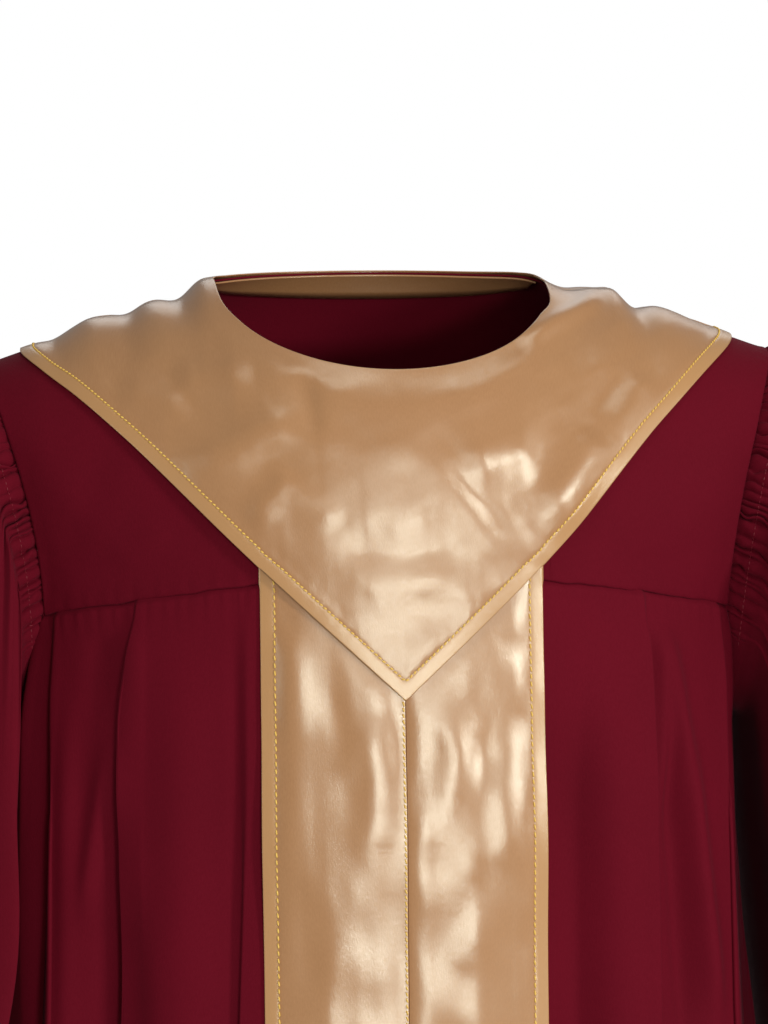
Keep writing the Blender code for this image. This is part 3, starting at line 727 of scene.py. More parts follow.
# How far a fold's edge strays outwards at each height, by pleat and side.
PLEAT_SWAYS = {
    ("beside_panel", -1): (
        (-0.16, -0.003), (-0.27, -0.003), (-0.33, -0.001), (-0.39, 0.001), (-0.60, 0.001), (-0.9, 0.0),
    ),
    ("chest", -1): (
        (-0.171, 0.0), (-0.188, 0.005), (-0.2265, 0.0115), (-0.250, 0.0105), (-0.29, 0.010), (-0.39, 0.010),
        (-0.6, 0.004),
    ),
    ("corner", -1): ((-0.18, 0.0), (-0.223, 0.0015), (-0.28, -0.003), (-0.39, -0.010), (-0.55, -0.010), (-0.80, 0.0)),
    ("chest", 1): ((-0.174, 0.0), (-0.195, 0.003), (-0.225, 0.004), (-0.28, 0.0035), (-0.40, -0.002), (-0.60, 0.0)),
    ("corner", 1): ((-0.18, 0.0), (-0.21, 0.002), (-0.27, -0.003), (-0.40, -0.012), (-0.55, -0.011), (-0.80, 0.0)),
}
# How far the side of the skirt stands out beside each arm at each height.
SIDE_START, SIDE_WIDTH = 0.181, 0.014
SIDE_SHIFTS = {
    -1: ((-0.17, 0.002), (-0.20, 0.007), (-0.235, 0.011), (-0.27, 0.010), (-0.36, 0.007), (-0.44, 0.003), (-0.6, 0.0)),
    1: ((-0.20, 0.0), (-0.28, -0.002), (-0.36, -0.005), (-0.45, -0.005), (-0.60, -0.004), (-0.90, 0.0)),
}
HEM_BAND, SKIRT_LENGTH, PANEL_HALF = 0.026, 1.135, 0.0760
SKIRT_ROWS, SIDE_STEPS, STEP_SPLITS = 104, 12, (0.34, 0.67)
FRONT_STEPS, BACK_STEPS, NEXT_TO_HOLLOW, NEXT_TO_FOLD = 28, 11, 0.06, 0.04
FOLD_RADIUS, HOLLOW_RADIUS = 1.5 * MM, 2.5 * MM
CORNER_SMOOTHING, SMOOTHING_STEPS = 12 * MM, 7
# The pressed fold stands a little proud of the cloth beside it: its height and half width.
FOLD_BEAD, FOLD_BEAD_WIDTH = 0.7 * MM, 2.6 * MM
# The seam allowance goes this far under the yoke: its depth below the face, and its width.
YOKE_TUCKS = ((1.7 * MM, 4.0 * MM), (0.8 * MM, 0.8 * MM))
arm_turns = np.linspace(CORNER_TURN, PI - GAP / 2 / ARM_HALF_DEPTH, 25)
arm_points = armhole(1, arm_turns)
TOP_LENGTH = CORNER_X + float(np.linalg.norm(np.diff(arm_points, axis=0), axis=1).sum())


def skirt_top(side, at, back):
    at = np.asarray(at, float)
    across = np.minimum(at / CORNER_X, 1.0)
    on_yoke = yoke_point(side, across, np.ones_like(across), back)
    share = np.clip((at - CORNER_X) / (TOP_LENGTH - CORNER_X), 0, 1)
    turn = lerp(CORNER_TURN, arm_turns[-1], share) * (-1 if back else 1)
    point = np.where((at <= CORNER_X)[..., None], on_yoke, armhole(side, turn))
    return point - np.array([0, 0, GAP / 2])


def hem_point(side, at, back):
    still = 0.0 if back else STILL_HALF
    start = math.asin((still / HEM_HALF) ** (HEM_POWER / 2))
    share = np.clip((at - still) / (TOP_LENGTH - still), 0, 1)
    angle = lerp(start, PI / 2, share ** (1.0 if back else FRONT_SPREAD))
    x = np.where(at <= still, at, HEM_HALF * np.sin(angle) ** (2 / HEM_POWER))
    y = np.maximum(1 - (np.minimum(x, HEM_HALF) / HEM_HALF) ** HEM_POWER, 0) ** (1 / HEM_POWER)
    depth = np.maximum((HEM_BACK if back else HEM_FRONT) * y, GAP / 2)
    return xyz(side * x, depth if back else -depth, HEM_Z)


def skirt_base(side, at, down, back):
    return lerp(skirt_top(side, at, back), hem_point(side, at, back), down[..., None])


def skirt_normal(side, at, down, back):
    step = 0.004
    low = skirt_base(side, np.maximum(at - step, 0.0), down, back)
    high = skirt_base(side, np.minimum(at + step, TOP_LENGTH), down, back)
    run = high - low
    sign = side * (-1 if back else 1)
    return unit(xyz(run[..., 1] * sign, -run[..., 0] * sign, 0.0))


print("half the skirt's top is", round(TOP_LENGTH, 3), "m long")

# %% Fold the pleats


def pleat_columns(pleats, steps):
    """(place, share of the rise, pleat, lap, kind) for each column from the centre to the side seam."""
    first = pleats[0]
    crest = first["at"] - first["edge"] / 2
    columns = [(crest * share, 1.0, first, 0.0, "flat") for share in np.linspace(0, 1, 13)[:-1]]
    columns.append((crest, 1.0, first, 1.0, "fold"))
    for before, pleat in zip(pleats, pleats[1:] + [None]):
        foot = before["at"] + before["edge"] / 2
        columns.append((foot, 0.0, before, -0.5, "hollow"))
        if pleat is None:
            shares = np.concatenate([np.linspace(0, 1, SIDE_STEPS)[1:-1], [0.985, 1.0]])
            columns += [(lerp(foot, TOP_LENGTH, share), 0.0, before, 0.0, "flat") for share in shares]
        else:
            end = pleat["at"] - pleat["edge"] / 2
            for share in np.linspace(NEXT_TO_HOLLOW, 1 - NEXT_TO_FOLD, steps):
                columns.append((lerp(foot, end, share), share ** PLEAT_CURVE, pleat, 0.0, "flat"))
            columns.append((end, 1.0, pleat, 1.0, "fold"))
    return columns


def rounded(points, kinds):
    """Splits the step behind each fold, and rounds the fold and the hollow."""
    split, names = [], []
    for n, kind in enumerate(kinds):
        split.append(points[:, n])
        names.append(kind)
        if kind == "fold":
            split += [lerp(points[:, n], points[:, n + 1], share) for share in STEP_SPLITS]
            names += ["flat"] * len(STEP_SPLITS)
    out = []
    for n, kind in enumerate(names):
        if kind == "flat":
            out.append(split[n])
            continue
        radius = FOLD_RADIUS if kind == "fold" else HOLLOW_RADIUS
        ends = []
        for neighbour in (split[n - 1], split[n + 1]):
            away = neighbour[:, :3] - split[n][:, :3]
            length = np.linalg.norm(away, axis=-1, keepdims=True)
            ends.append(lerp(split[n], neighbour, np.minimum(radius / length, 0.8)))
        for share in (0.0, 0.25, 0.5, 0.75, 1.0):
            out.append(ends[0] * (1 - share) ** 2 + split[n] * 2 * share * (1 - share) + ends[1] * share ** 2)
    return np.stack(out, axis=1)


def skirt_downs():
    """Rows that lie close together at the seam and at the stitching of the hem."""
    shares = np.linspace(0, 1, SKIRT_ROWS) ** 1.35
    above_hem = np.array([HEM_BAND + 1.5 * MM, HEM_BAND, HEM_BAND - 1.5 * MM, 0.5 * MM, 2 * MM])
    return np.unique(np.concatenate([shares, [0.0008, 0.002], 1 - above_hem / SKIRT_LENGTH]))


def at_heights(z, rows):
    """Reads a small table of heights and sizes, with its corners smoothed."""
    heights, sizes = np.array(rows[::-1]).T
    shifts = np.linspace(-CORNER_SMOOTHING, CORNER_SMOOTHING, SMOOTHING_STEPS)
    return sum(np.interp(z + shift, heights, sizes) for shift in shifts) / SMOOTHING_STEPS


def skirt_grid(side, pleats, back):
    """The outer face of half a skirt, and its smooth normals for creases."""
    columns = pleat_columns(table(PLEAT_COLUMNS, pleats), BACK_STEPS if back else FRONT_STEPS)
    at, rise, _, lap, kinds = (list(part) for part in zip(*columns))
    at, down = np.meshgrid(np.array(at), skirt_downs())
    rise_seam, rise_hem, lap_width = (
        np.array([column[2][key] for column in columns]) for key in ("rise_seam", "rise_hem", "lap")
    )
    base, normal = skirt_base(side, at, down, back), skirt_normal(side, at, down, back)
    height = np.array(rise) * lerp(rise_seam, rise_hem, down ** PLEAT_OPENING)
    fold = np.array([column[2]["at"] - column[2]["edge"] / 2 for column in columns])
    height += FOLD_BEAD * hill(at - fold, FOLD_BEAD_WIDTH) * (np.array(rise) > 0.5) * ease(down * 20)
    sign = side * (-1 if back else 1)
    onward = xyz(-normal[..., 1] * sign, normal[..., 0] * sign, 0.0)
    lapped = np.array(lap) * lap_width * ease(down * 3)
    for number, column in enumerate(columns):
        sway = PLEAT_SWAYS.get((column[2]["name"], side))
        if sway and not back and kinds[number] == "fold":
            lapped[:, number] += at_heights(base[:, number, 2], sway)
    beside = ease((at - SIDE_START) / SIDE_WIDTH) * at_heights(base[..., 2], SIDE_SHIFTS[side])
    points = base + normal * height[..., None] + onward * lapped[..., None] + xyz(side * beside, 0.0, 0.0)
    both = rounded(np.concatenate([points, normal], axis=-1), kinds)
    return both[..., :3], unit(both[..., 3:])


print("pleats:", sum(len(rows) for rows in FRONT_PLEATS.values()), "in front and", 2 * len(BACK_PLEATS), "behind")

# %% Creases of the skirt, and its three panels
SKIRT_CREASES = (
    ("chest_triangle_right", -140, -178, -144.5, -215, -144, -262, 4.5, 2.2),
    ("chest_ridge_right", -153, -236, -161, -290, -171, -350, 5.5, 4),
    ("behind_ridge_right", -151, -270, -153, -330, -154, -450, 5, -4),
    ("beside_fold_right", -150, -300, -152, -420, -156, -700, 12, -10),
    ("under_fold_right", -156, -185, -158, -205, -160, -235, 7, -1.8),
    ("shade_beside_panel", -90, -165, -88.5, -260, -94, -420, 3, -1),
    ("broad_right", -115, -180, -120, -300, -118, -520, 16, 3.6),
    ("broad_low_right", -170, -420, -190, -620, -198, -900, 20, 5),
    ("side_right", -176, -205, -179, -320, -180, -460, 6, 2.4),
    ("hem_right", -135, -900, -145, -1080, -150, -1290, 18, -4),
    ("panel_hollow_left", 85, -195, 88, -330, 90, -600, 20, -14),
    ("tongue_left", 140.5, -180, 147, -230, 142.5, -295, 3, 2.4),
    ("behind_tongue_left", 150, -212, 153, -250, 147, -310, 3.4, -2.2),
    ("chest_ridge_left", 141, -180, 154.5, -212, 156, -275, 7, 7),
    ("low_ridge_left", 157, -230, 164, -310, 176, -430, 7, 8),
    ("behind_ridge_left", 149, -260, 153, -330, 159, -450, 6, -4.4),
    ("corner_left", 186, -180, 191.5, -205, 190, -245, 3, 2),
    ("broad_left", 115, -185, 120, -310, 118, -560, 15, 2.6),
    ("broad_low_left", 175, -430, 183, -640, 190, -950, 20, 5),
    ("hem_left", 128, -880, 140, -1100, 142, -1290, 17, 4),
)
SKIRT_BACK_CREASES = (
    ("blade_right", -118, -200, -126, -300, -130, -480, 9, 2.6),
    ("outer_right", -158, -210, -168, -330, -170, -560, 9, -2.2),
    ("low_right", -140, -520, -160, -760, -170, -1100, 20, 4.8),
    ("inner_right", -45, -190, -48, -330, -56, -620, 9, -2),
    ("centre", 6, -200, 0, -420, -4, -800, 10, 2),
    ("inner_left", 48, -200, 54, -360, 60, -640, 9.5, 2.4),
    ("blade_left", 120, -195, 124, -320, 135, -500, 8.5, -2.2),
    ("outer_left", 160, -215, 166, -350, 175, -600, 10, 2.8),
    ("low_left", 130, -560, 150, -800, 160, -1150, 20, -4.6),
)
# The drape of the hanging cloth: its height at the hem, its wave and how much the wave leans.
DRAPE, DRAPE_WAVE, DRAPE_LEAN = 2.6 * MM, 115 * MM, 0.15
# It grows over this run from the seam, and over these runs from the side seams and from the panel.
DRAPE_RUN, FREE_RUN, PANEL_HIDES, PANEL_FREE_RUN = 0.5, 45 * MM, 4 * MM, 25 * MM
SEAM_PUCKER, SEAM_PUCKER_WAVE, SEAM_PUCKER_RUN, SEAM_SINK = 0.35 * MM, 8 * MM, 12 * MM, 1.3 * MM


def skirt_relief(points, normals, creases, seed, front=True):
    """Adds creases, a drape that grows to the hem, puckers at the seam and the band of the hem."""
    runs = edge_runs(points)
    down, across = runs["top"], runs["first"]
    height = crease_height(points, creases)
    # The drape dies away under the panel and at the side seams, where two pieces meet.
    free = ease(np.minimum(across, runs["last"]) / FREE_RUN)
    if front:
        free = free * ease((np.abs(points[..., 0]) - PANEL_HALF - PANEL_HIDES) / PANEL_FREE_RUN)
    height += DRAPE * ripple(across + DRAPE_LEAN * down, DRAPE_WAVE, seed) * ease(down / DRAPE_RUN) * free
    height += pucker(runs, "top", SEAM_PUCKER_WAVE, SEAM_PUCKER, SEAM_PUCKER_RUN, seed + 1)
    height -= SEAM_SINK * hill(down, 1.0 * MM)
    height += hem_groove(points[..., 2] - HEM_Z, HEM_BAND)
    points = points + normals * height[..., None]
    points[..., 2] += seam_waver(points[..., 0], down)
    tucks = [points[0] - normals[0] * depth + np.array([0, 0, width]) for depth, width in YOKE_TUCKS]
    return np.concatenate([tucks, points], axis=0)


for word, side in SIDES:
    grid, normals = skirt_grid(side, FRONT_PLEATS[side], False)
    grid = skirt_relief(grid, normals, SKIRT_CREASES, 1.0 + side)
    grid[:, 0, 0] = side * GAP / 2
    shell("skirt_front_" + word, grid, maroon)
halves = [skirt_grid(side, BACK_PLEATS, True) for _, side in SIDES]
grid, normals = (joined(*both) for both in zip(*halves))
shell("skirt_back", skirt_relief(grid, normals, SKIRT_BACK_CREASES, 4.0, front=False), maroon)

# %% [markdown]
# ## The sleeves
# Each sleeve head is longer than the armhole, and rows of stitches gather it into the seam, of which the
# outer one shows. The gathers are ridges of uneven width and length that die away into the puff of the
# sleeve. They could be sculpted, but a stack of rings between sections from a table, with the ridges
# added as a wave round them, keeps their number and their stitches in step.

# %% Sizes of the sleeves
SLEEVE_COLUMNS = (
    "name", "inner_x", "inner_z", "outer_x", "outer_z", "half_depth", "bow", "lap", "fold", "rings",
)
SLEEVE_SECTIONS = (
    ("seam", 0.1900, -0.240, 0.2200, -0.0450, 0.0620, 0.0132, 0.0, 0.0, 6),
    ("first_stitching", 0.1945, -0.241, 0.2275, -0.0430, 0.0675, 0.0135, 0.0, 0.0, 7),
    ("second_stitching", 0.2000, -0.243, 0.2375, -0.0435, 0.0735, 0.0145, 0.0, 0.0, 8),
    ("puff", 0.2040, -0.247, 0.2510, -0.0485, 0.0820, 0.0200, 0.003, 0.002, 9),
    ("cap", 0.2060, -0.262, 0.2690, -0.0660, 0.0890, 0.0280, 0.006, 0.004, 8),
    ("upper_arm", 0.2085, -0.290, 0.2880, -0.1150, 0.0950, 0.0350, 0.009, 0.005, 8),
    ("above_elbow", 0.2140, -0.340, 0.3050, -0.2050, 0.1020, 0.0400, 0.013, 0.006, 8),
    ("elbow", 0.2230, -0.410, 0.3210, -0.3150, 0.1140, 0.0400, 0.024, 0.007, 8),
    ("forearm", 0.2360, -0.500, 0.3420, -0.4450, 0.1280, 0.0360, 0.020, 0.008, 12),
    ("cuff", 0.2530, -0.615, 0.3700, -0.6000, 0.1430, 0.0300, 0.012, 0.009, 0),
)
LAST_SECTION = 0.155
SLEEVE_LEAN = {-1: 1.0, 1: 0.45}
SLEEVE_LAP = {-1: 1.0, 1: 0.9}
# The front fold of the hanging sleeve is its innermost line: the wall behind it stands this much further out.
SLEEVE_TURN_IN, TURN_IN_FOLD, TURN_IN_START = 0.012, 0.008, 0.35
GATHERS, UNDERARM_COLUMNS = 74, 22
GATHER_PLACES = (0.0, 0.07, 0.16, 0.36, 0.64, 0.84, 0.93)
VALLEY_HALF, GATHER_DROOP, DROOP_RUN = 0.14, 0.085, 20 * MM
GATHER_REACH, GATHER_FADE = math.radians(125), math.radians(14)
# The gathers bend to and fro between the rows of stitches: how far they turn, and over what length.
GATHER_JOG, GATHER_JOG_LENGTH, JOG_SECTIONS, SECTION_LENGTH = 0.016, 0.21, 2.5, 8 * MM
GATHER_HEIGHT, GATHER_SEED = 2.9 * MM, 11
# Shares of the mean width and depth that a gather may have, and its length past the stitches in millimetres.
GATHER_WIDTHS, GATHER_DEPTHS, GATHER_REACHES = (0.35, 1.65), (0.40, 1.75), (3, 18)
# The gathers reach this far from the seam at full strength, and the row of stitches pinches them here.
GATHERED_RUN, PINCH_RUN, PINCH_WIDTH, PINCH = 10 * MM, 9.5 * MM, 1.2 * MM, 0.35
# The ridges between the valleys: their height, how much it varies and how far they reach.
CROWN, CROWN_SWELLING, CROWN_RUN, VALLEY_POWER = 0.24, 0.5, 18 * MM, 1.4
# Broader soft ridges take over below the gathers: height, wave, start, rise and reach.
SOFT_RIDGE, SOFT_RIDGE_WAVE, SOFT_START, SOFT_RISE, SOFT_RUN = 0.7, 0.19, 8 * MM, 26 * MM, 80 * MM
SOFT_FOLDS = (7, 11)
CUFF_BAND = 0.022
# The seam allowance goes this far under the neighbour: its depth below the face, its width, and its run.
SEAM_TUCKS, TUCK_RUN = ((1.3 * MM, 4.0 * MM), (0.7 * MM, 0.9 * MM)), 5.0 * MM


# %% Rings and gathers of the sleeve
def smooth_sections(key, places):
    """A size from the sleeve's table, read along a smooth curve through its sections."""
    values = np.array([row[key] for row in table(SLEEVE_COLUMNS, SLEEVE_SECTIONS)])
    slopes = np.gradient(values)
    first = np.minimum(places.astype(int), len(values) - 2)
    share = places - first
    a, b, m, n = values[first], values[first + 1], slopes[first], slopes[first + 1]
    cube, square = share ** 3, share ** 2
    return (
        a * (2 * cube - 3 * square + 1) + m * (cube - 2 * square + share)
        + b * (3 * square - 2 * cube) + n * (cube - square)
    )


def sleeve_places():
    """Places of the rings among the sections, with extra ones at the seam, the cuff's edge and its stitching."""
    places = [0.08]
    for number, row in enumerate(table(SLEEVE_COLUMNS, SLEEVE_SECTIONS)[:-1]):
        places += [number + k / row["rings"] for k in range(row["rings"])]
    above_cuff = np.array([CUFF_BAND, CUFF_BAND + 1.5 * MM, CUFF_BAND - 1.5 * MM, 0.5 * MM, 2 * MM, 0.0])
    return np.unique(np.append(places, len(SLEEVE_SECTIONS) - 1 - above_cuff / LAST_SECTION))


def gather_turns():
    """Turns of the valleys, unevenly spaced, with columns beside each valley and over each ridge."""
    rng = np.random.default_rng(GATHER_SEED)
    widths = rng.uniform(*GATHER_WIDTHS, GATHERS)
    valleys = np.concatenate([[0], np.cumsum(widths)]) / widths.sum() * 2 * GATHER_REACH - GATHER_REACH
    places = np.array([lerp(a, b, share) for a, b in zip(valleys, valleys[1:]) for share in GATHER_PLACES])
    return np.append(places, GATHER_REACH), np.append(np.tile(GATHER_PLACES, GATHERS), 0.0)


def sleeve_turns():
    fine, _ = gather_turns()
    under = 2 * PI - 2 * GATHER_REACH
    return np.concatenate([fine, GATHER_REACH + under * np.arange(1, UNDERARM_COLUMNS) / UNDERARM_COLUMNS])


def gather_height(run, side):
    """Ridges of the gathered head with narrow valleys between them. run is the distance from the seam."""
    rng = np.random.default_rng(GATHER_SEED + 2 + side)
    turns, place = gather_turns()
    number = np.minimum(np.arange(len(turns)) // len(GATHER_PLACES), GATHERS - 1)
    after = np.where(place > 0.5, number + 1, number)
    reach = rng.uniform(*GATHER_REACHES, GATHERS + 1) * MM
    depth = rng.uniform(*GATHER_DEPTHS, GATHERS + 1)
    swelling = rng.uniform(-0.5, 0.5, GATHERS)
    from_valley = np.minimum(place, 1 - place)
    valley = np.exp(-(from_valley / VALLEY_HALF) ** VALLEY_POWER)
    past = np.maximum(run - GATHERED_RUN, 0.0)
    fade = np.exp(-(past / reach[after]) ** 2)
    crown = (CROWN + CROWN_SWELLING * swelling[number]) * np.sin(PI * place) * hill(past, CROWN_RUN)
    pinch = 1 - PINCH * hill(run - PINCH_RUN, PINCH_WIDTH)
    medium = SOFT_RIDGE * ripple(turns, SOFT_RIDGE_WAVE, 5.0 + side)
    medium = medium * ease((run - SOFT_START) / SOFT_RISE) * hill(past, SOFT_RUN)
    inside = ease((GATHER_REACH - np.abs(turns)) / GATHER_FADE)
    at_seam = 0.65 + 0.35 * ease(run / (4 * MM))
    return GATHER_HEIGHT * inside * ((crown - depth[after] * valley * fade) * pinch * at_seam + medium)


print(GATHERS, "gathers in each sleeve head, in", len(sleeve_turns()), "columns")


# %% Make the sleeves
def sleeve_grid(side):
    places = sleeve_places()
    turn, place = np.meshgrid(sleeve_turns(), places)
    size = {key: smooth_sections(key, place) for key in SLEEVE_COLUMNS[1:-1]}
    jog = GATHER_JOG * ripple(turn, GATHER_JOG_LENGTH, 21.0 + side)
    turn = turn + jog * np.sin(PI * place) * hill(place, JOG_SECTIONS)
    turn = turn + GATHER_DROOP * np.sin(turn) * (1 - np.exp(-place * SECTION_LENGTH / DROOP_RUN))
    lean, reach = np.cos(turn), np.sin(turn)
    inner = xyz(side * size["inner_x"], 0.0, size["inner_z"])
    outer = xyz(side * size["outer_x"], 0.0, size["outer_z"])
    centre = (inner + outer) / 2
    points = centre + (outer - inner) / 2 * lean[..., None]
    points[..., 1] -= size["half_depth"] * reach
    lean_in = lerp(ARM_BOW, size["bow"], SLEEVE_LEAN[side]) * reach * reach
    lap = size["lap"] * SLEEVE_LAP[side] * np.maximum(reach, 0.0) ** 4
    behind = SLEEVE_TURN_IN * size["fold"] / TURN_IN_FOLD * ease(-lean / TURN_IN_START) * np.maximum(reach, 0.0)
    points[..., 0] -= side * (lean_in + lap - behind)
    away = unit(points - centre)
    folded = np.remainder(turn + PI, 2 * PI) - PI
    under = PI - np.abs(folded)
    few, many = SOFT_FOLDS
    wave = 0.6 * np.cos(few * turn + 0.7 * side) + 0.4 * np.cos(many * turn + 1.9)
    height = size["fold"] * wave * lerp(0.15, 1.0, ease(under / math.radians(70)))
    run = run_along(points, 0)
    gathered = len(gather_turns()[0])
    height[:, :gathered] += gather_height(run[:, :gathered], side)
    height -= 0.5 * MM * hill(run, 1.0 * MM)
    height += hem_groove(run[-1:] - run, CUFF_BAND)
    points = points + away * height[..., None]
    points[..., 0] += side * GAP
    tucks = [points[0] - away[0] * depth - np.array([side * width, 0, 0]) for depth, width in SEAM_TUCKS]
    points = np.concatenate([tucks, points], axis=0)
    middles = np.concatenate([centre[:1, :1]] * len(SEAM_TUCKS) + [centre[:, :1]], axis=0)
    return points, lambda p: np.broadcast_to(middles, p.shape)


for word, side in SIDES:
    grid, middle_line = sleeve_grid(side)
    shell("sleeve_" + word, grid, maroon, closed=True, inside=middle_line)

# %% [markdown]
# ## The satin panel
# Two strips of satin lie down the centre front. Each is turned under at its outer edge and stitched 8 mm
# in from it, and the right strip laps over the left one at the centre seam. The strips are made from the
# points of the yoke and the skirt, moved out, so that they lie on them wherever those bend.

# %% Make the two strips
PANEL_START, PANEL_CLEARANCE = 0.5, 0.6 * MM
COLLAR_POINT_Z, PANEL_SEAM_TOP = -0.219, -0.190
# The satin is stitched this far from its turned edge, and the columns keep these distances from it.
SATIN_STITCH, SATIN_BEND = 7.6 * MM, 0.35 * MM
EDGE_RUNS = np.array([0, 0.2, 0.5, 1.0, 2.0, 3.6, 5.4, 6.4, 7.1, 7.6, 8.1, 8.8, 10.2]) * MM
PANEL_CREASES = (
    ("across_top", -140, -216, 0, -219, 140, -214, 16, 1),
    ("slack_below_point", -150, -292, 0, -294, 150, -292, 40, 5),
    ("under_point_right", -62, -176, -58, -205, -50, -240, 10, 2.6),
    ("from_point_right", -6, -226, -22, -240, -42, -262, 6, 2.2),
    ("middle_right", -18, -232, -14, -262, -24, -305, 8, 2.4),
    ("from_point_left", 8, -222, 24, -238, 40, -262, 6, 2),
    ("middle_left", 22, -212, 30, -245, 18, -300, 9, 2.6),
    ("outer_left", 58, -205, 50, -260, 56, -330, 8, 2.2),
    ("low_right", -46, -300, -36, -350, -44, -420, 10, 1.8),
    ("low_left", 36, -300, 44, -360, 34, -430, 10, 1.6),
)
PANEL_LONG_CREASES = (
    ("knee_right", -30, -520, -44, -640, -32, -760, 14, 2.2),
    ("knee_left", 42, -600, 30, -720, 44, -860, 14, 2.2),
    ("foot_right", -46, -880, -34, -1000, -46, -1140, 15, 2),
    ("foot_left", 30, -980, 44, -1090, 34, -1220, 15, 2),
)
# The creases are this strong, the strip bulges this much, and its hollows have a height and a size.
PANEL_CREASE_SHARE, PANEL_BULGE, LOW_SLACK = 0.6, 1.0 * MM, 0.4
PANEL_HOLLOWS, PANEL_HOLLOW_SIZE = 0.6 * MM, 46 * MM
PANEL_WRINKLES, PANEL_WRINKLE_SIZE = 0.20 * MM, 19 * MM
# The satin hangs slack below the collar's slanting edge, and less so further down.
COLLAR_SLANT, SLACK_DROP, LOW_SLACK_Z, LOW_SLACK_RUN = 0.93, 14 * MM, -0.40, 0.2


def turned_edge(to_edge, along, wavelength, height, reach, seed):
    """The rolled edge of the satin, the groove of its stitches and the puckers beside them."""
    swell = 0.06 * MM * hill(to_edge - 3.6 * MM, 2.6 * MM)
    groove = 0.20 * MM * hill(to_edge - SATIN_STITCH, 0.7 * MM)
    puckers = height * ripple(along, wavelength, seed) * hill(to_edge - 10 * MM, reach)
    return rolled(to_edge, SATIN_BEND) + swell - groove + puckers


def edge_band(to_edge):
    """1 where the satin is turned under and painted browner for its weaker sheen, and 0 inside the stitches."""
    return ease((SATIN_STITCH + 0.4 * MM - to_edge) / (1 * MM))


def panel_grid(side):
    runs = np.concatenate([EDGE_RUNS, np.linspace(12.5 * MM, PANEL_HALF - 2.5 * MM, 20)])
    places = side * np.concatenate([[GAP / 2, 0.5 * MM, 1.2 * MM], (PANEL_HALF - runs)[::-1]])
    x, down = np.meshgrid(places, np.linspace(PANEL_START, 1, 40))
    out = PANEL_CLEARANCE + WALL
    across = np.abs(x) / lerp(ARM_TOP_X, CORNER_X, down)
    top, bottom = yoke_turns(across, False)
    upper = moved_out(x, lerp(top, bottom, down), np.full(x.shape, out))
    upper[..., 2] += GAP / 2 * down
    x, down = np.meshgrid(places, skirt_downs()[3:])
    pleat = table(PLEAT_COLUMNS, FRONT_PLEATS[-1])[0]
    rise = pleat["rise_hem"] * down ** PLEAT_OPENING
    normal = skirt_normal(side, np.abs(x), down, False)
    lower = skirt_base(side, np.abs(x), down, False) + normal * (rise + out)[..., None]
    lower[..., 0] = x
    return np.concatenate([upper, lower], axis=0)


for word, side in SIDES:
    grid = panel_grid(side)
    from_middle = np.abs(grid[..., 0])
    edge, down = PANEL_HALF - from_middle, run_along(grid, 0)
    below_collar = COLLAR_POINT_Z + COLLAR_SLANT * from_middle - grid[..., 2]
    slack = ease(np.minimum(edge - 6 * MM, from_middle) / (10 * MM)) * ease((below_collar + 3 * MM) / SLACK_DROP)
    slack *= lerp(1.0, LOW_SLACK, ease((LOW_SLACK_Z - grid[..., 2]) / LOW_SLACK_RUN))
    height = PANEL_CREASE_SHARE * crease_height(grid, PANEL_CREASES + PANEL_LONG_CREASES)
    height += (PANEL_BULGE + PANEL_HOLLOWS * crumple(grid, PANEL_HOLLOW_SIZE, 4 + side)) * slack
    height += PANEL_WRINKLES * crumple(grid, PANEL_WRINKLE_SIZE, 8 + side) * slack
    height += turned_edge(edge, down, 11 * MM, 0.16 * MM, 6 * MM, 2.0 * side)
    # The right strip lies over the left one at the centre seam, which sinks beside it.
    if side < 0:
        seam = 0.45 * MM * hill(from_middle, 4 * MM)
    else:
        seam = 0.20 * MM * hill(from_middle - 4 * MM, 4 * MM) - 0.5 * MM * hill(from_middle, 1.6 * MM)
    seam += 0.18 * MM * ripple(down, 13 * MM, 4.0 + side) * hill(from_middle - 5 * MM, 5 * MM)
    height += seam * ease((PANEL_SEAM_TOP - grid[..., 2]) / (25 * MM))
    shell("panel_" + word, raised(grid, height), gold, band=edge_band(edge))

# %% [markdown]
# ## The satin collar
# The collar lies flat round the neck and falls to a point on the breast, and to a shallower one behind.
# Its edge is turned under and stitched 8 mm in. The grid runs from the neckline to the edge, with extra
# rows beside the edge that keep a constant distance from it, so that the rolled edge and the groove of
# the stitches stay even.

# %% Sizes and surface of the collar
COLLAR_TIP_X, COLLAR_BACK_Z = 0.197, -0.125
COLLAR_HOLLOW, COLLAR_HOLLOW_POWER = 0.095, 5
# The collar's shoulder seams lie a little in front of the shoulder line, as a turn of the figure.
SEAM_FORWARD_RIGHT, SEAM_FORWARD_LEFT, FORWARD_START, FORWARD_NECK, FORWARD_RUN = 0.05, 0.13, 0.7, 0.10, 0.08
NECK_CLEARANCE, COLLAR_CLEARANCE, COLLAR_LIFT, SHOULDER_CLEARANCE = 0.7 * MM, 2.9 * MM, 1.8 * MM, 1.0 * MM
COLLAR_COLUMNS, COLLAR_ROWS = 110, 46
# No hollow of the collar is much deeper than it can give before it meets the yoke.
COLLAR_GIVE = 1.2 * MM


